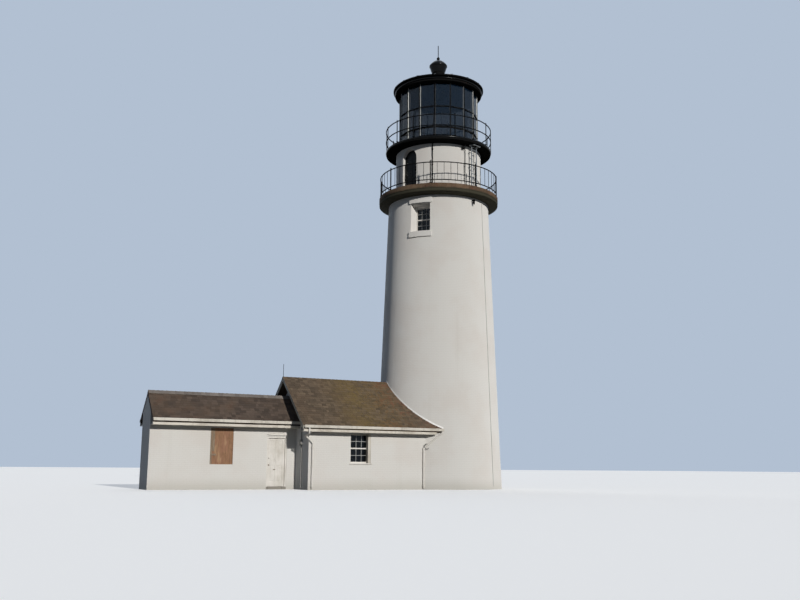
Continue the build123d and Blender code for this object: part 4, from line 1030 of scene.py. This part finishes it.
def lamps():
    """Caps, collars and glasses of the small lamps."""
    trim, glass = Shape(), Shape()
    shaft_angle, shaft_z, deck_angle = 280.5, SHAFT_TOP_Z - 0.14, 273.0
    place = turned(shaft_angle) @ moved(shaft_radius(shaft_z) + 0.13, 0, shaft_z - 0.13)
    cap = [(0, 0.12), (0.046, 0.12), (0.074, 0.124), (0.072, 0.132), (0.05, 0.155), (0.03, 0.168), (0, 0.17)]
    trim.solid_of_turn(cap, 32, place)
    glass.solid_of_turn([(0, -0.06), (0.022, -0.056), (0.038, -0.036), (0.043, 0.0), (0, 0.0)], 32, place)
    middle = turned(deck_angle) @ moved(2.05, 0, UPPER_Z0 - 0.2)
    collar = [(0.046, 0.058), (0.054, 0.058), (0.054, 0.07), (0.046, 0.07)]
    lens = [(0, 0.064), (0.044, 0.064), (0.03, 0.078), (0, 0.083)]
    for tip in (90, 270):
        place = middle @ tipped(tip)
        trim.lathe(collar, segments=32, place=place)
        glass.solid_of_turn(lens, 32, place)
    trim.piece("lamp_trim", IRON, bevel=0.001)
    glass.piece("lamp_glasses", WINDOW_PANE, "window_pane")


def gutter_straps():
    """Straps over the gutters of both rooms."""
    straps = Shape()
    wide, deep, spacing, inset, half, thick = 0.1, 0.105, 0.9, 0.12, 0.012, 0.004
    for node, mid_y, eave_y, eave_z in (
        ("workroom_gutters", 0.0, ROOM_EAVE_Y, ROOM_RIDGE_Z - ROOM_SLOPE * ROOM_EAVE_Y),
        ("passage_gutters", PASSAGE_MID_Y, PASSAGE_EAVE_Y, PASSAGE_RIDGE_Z - PASSAGE_SLOPE * PASSAGE_EAVE_Y),
    ):
        length = high(node).x - low(node).x
        count = int(length / spacing)
        for side in (-1, 1):
            outer = mid_y + side * (eave_y + wide)
            for k in range(count + 1):
                x = low(node).x + inset + (length - 2 * inset) * k / count
                for y, drop in ((mid_y + side * eave_y, 0.008), (outer, deep + 0.005)):
                    straps.box(x - half, x + half, y, outer + side * thick, eave_z - drop, eave_z - 0.002)
    straps.piece("gutter_straps", OLD_GUTTER, "white_wood", bevel=0.001)


def rain_pipe_fixings():
    """Collars and clips on the rain pipes, and a dark grey ring at the tower's pipes that is a painted
    shadow of the pipe's elbow.
    """
    collars, shadow_rings = Shape(), Shape()
    wall_y, radius, collar_h, clip = ROOM_HALF_W + 0.055, 0.035, 0.06, 0.055
    clear_r = SHAFT_BASE_R + 0.015 + radius
    gable_x, tower_x = ROOM_X + 0.149, -math.sqrt(clear_r ** 2 - wall_y ** 2)
    shadow_ring_x, shadow_ring_z, shadow_ring_r, wire = tower_x + 0.11, 1.74, 0.1, 0.016
    for side in (-1, 1):
        for x, heights in ((gable_x, (0.12, 0.85, 1.6)), (tower_x, (0.12, 0.85, 1.5))):
            for z in heights:
                collars.post((x, side * wall_y, z), collar_h, radius + 0.005)
                back_y = side * (ROOM_HALF_W - 0.002)
                collars.box(x - clip, x + clip, back_y, side * wall_y, z + 0.015, z + 0.045)
        # Painted shadow: a dark grey ring stood off the wall that stands in for the shade and the cast
        # shadow of the pipe's elbow.
        path = []
        for c, s in arc(70, 320, 14):
            x = shadow_ring_x + shadow_ring_r * c
            y = max(wall_y + radius, math.sqrt(SHAFT_BASE_R ** 2 - x ** 2)) + wire
            path.append(Vector((x, side * y, shadow_ring_z + shadow_ring_r * s)))
        shadow_rings.tube(path, wire, 10)
    collars.piece("rain_pipe_collars", WHITE_WOOD, "white_wood", bevel=0.002)
    shadow_rings.piece("rain_pipe_shadow_rings", GREY_PAINT)


def pale_stage():
    """A plain pale floor that throws back less light than it shows."""
    size, glow = 400.0, 0.27
    mesh = bpy.data.meshes.new("floor")
    corners = [(-size, -size, 0), (size, -size, 0), (size, size, 0), (-size, size, 0)]
    mesh.from_pydata(corners, [], [(0, 1, 2, 3)])
    obj = new_object("floor", mesh)
    obj.location.z = -0.002
    look = Look("pale floor", Specular_IOR_Level=0.1)
    seen = look.seen()
    look.set(look.shader.inputs["Emission Color"], (250, 250, 250))
    look.set(look.shader.inputs["Emission Strength"], look.times(seen, glow))
    mesh.materials.append(look.done(look.mix(seen, (105, 104, 101), (238, 237, 234)), 0.95))


def lamp(name, angle, height, energy, spread, colour):
    """A far lamp at an angle round the tower and a height, both in degrees."""
    light = bpy.data.lights.new(name, "SUN")
    light.energy, light.angle, light.color = energy, math.radians(spread), colour
    towards = polar(math.cos(math.radians(height)), angle, math.sin(math.radians(height)))
    new_object(name, light).rotation_euler = towards.to_track_quat("Z", "Y").to_euler()


def daylight():
    """A key lamp from the front, a soft fill from behind and an even pale sky."""
    world = bpy.data.worlds.new("sky")
    bpy.context.scene.world = world
    world.use_nodes = True
    sky = Nodes(world.node_tree)
    ambient = (0.095, 0.13, 0.19, 1.0)
    sky.set(sky.tree.nodes["Background"].inputs["Color"], sky.mix(sky.seen(), ambient, (178, 192, 210)))
    lamp("key", 270.5, 20.0, 3.12, 1.5, (1.0, 0.975, 0.94))
    lamp("fill", 68.0, 35.0, 0.7, 60.0, (0.94, 0.97, 1.0))


def camera():
    """The photograph's viewpoint: low, left of the tower and slightly rolled."""
    location = (-20.337, -35.322, 0.874)
    forward = Vector((0.45385, 0.87256, 0.18071)).normalized()
    right = forward.cross(Vector((0, 0, 1))).normalized()
    up = right.cross(forward)
    roll = math.radians(0.408)
    across = right * math.cos(roll) + up * math.sin(roll)
    upward = up * math.cos(roll) - right * math.sin(roll)
    lens = bpy.data.cameras.new("camera")
    lens.lens, lens.clip_end = 41.05, 1000.0
    obj = new_object("camera", lens)
    axes = Matrix((across, upward, -forward)).transposed()
    obj.matrix_world = moved(*location) @ axes.to_4x4()
    bpy.context.scene.camera = obj


dress_packed_nodes()
lower_deck()
watch_room()
railing_trim()
upper_deck()
parapet()
mullions()
cornice()
roof_ribs()
ventilator()
roofs()
windows()
window_casings()
door_leaf()
door_hood()
boarded_window()
watch_room_pipes()
ladder_fixings()
lamps()
gutter_straps()
rain_pipe_fixings()
pale_stage()
daylight()
camera()
bpy.context.scene.view_settings.view_transform = "Standard"
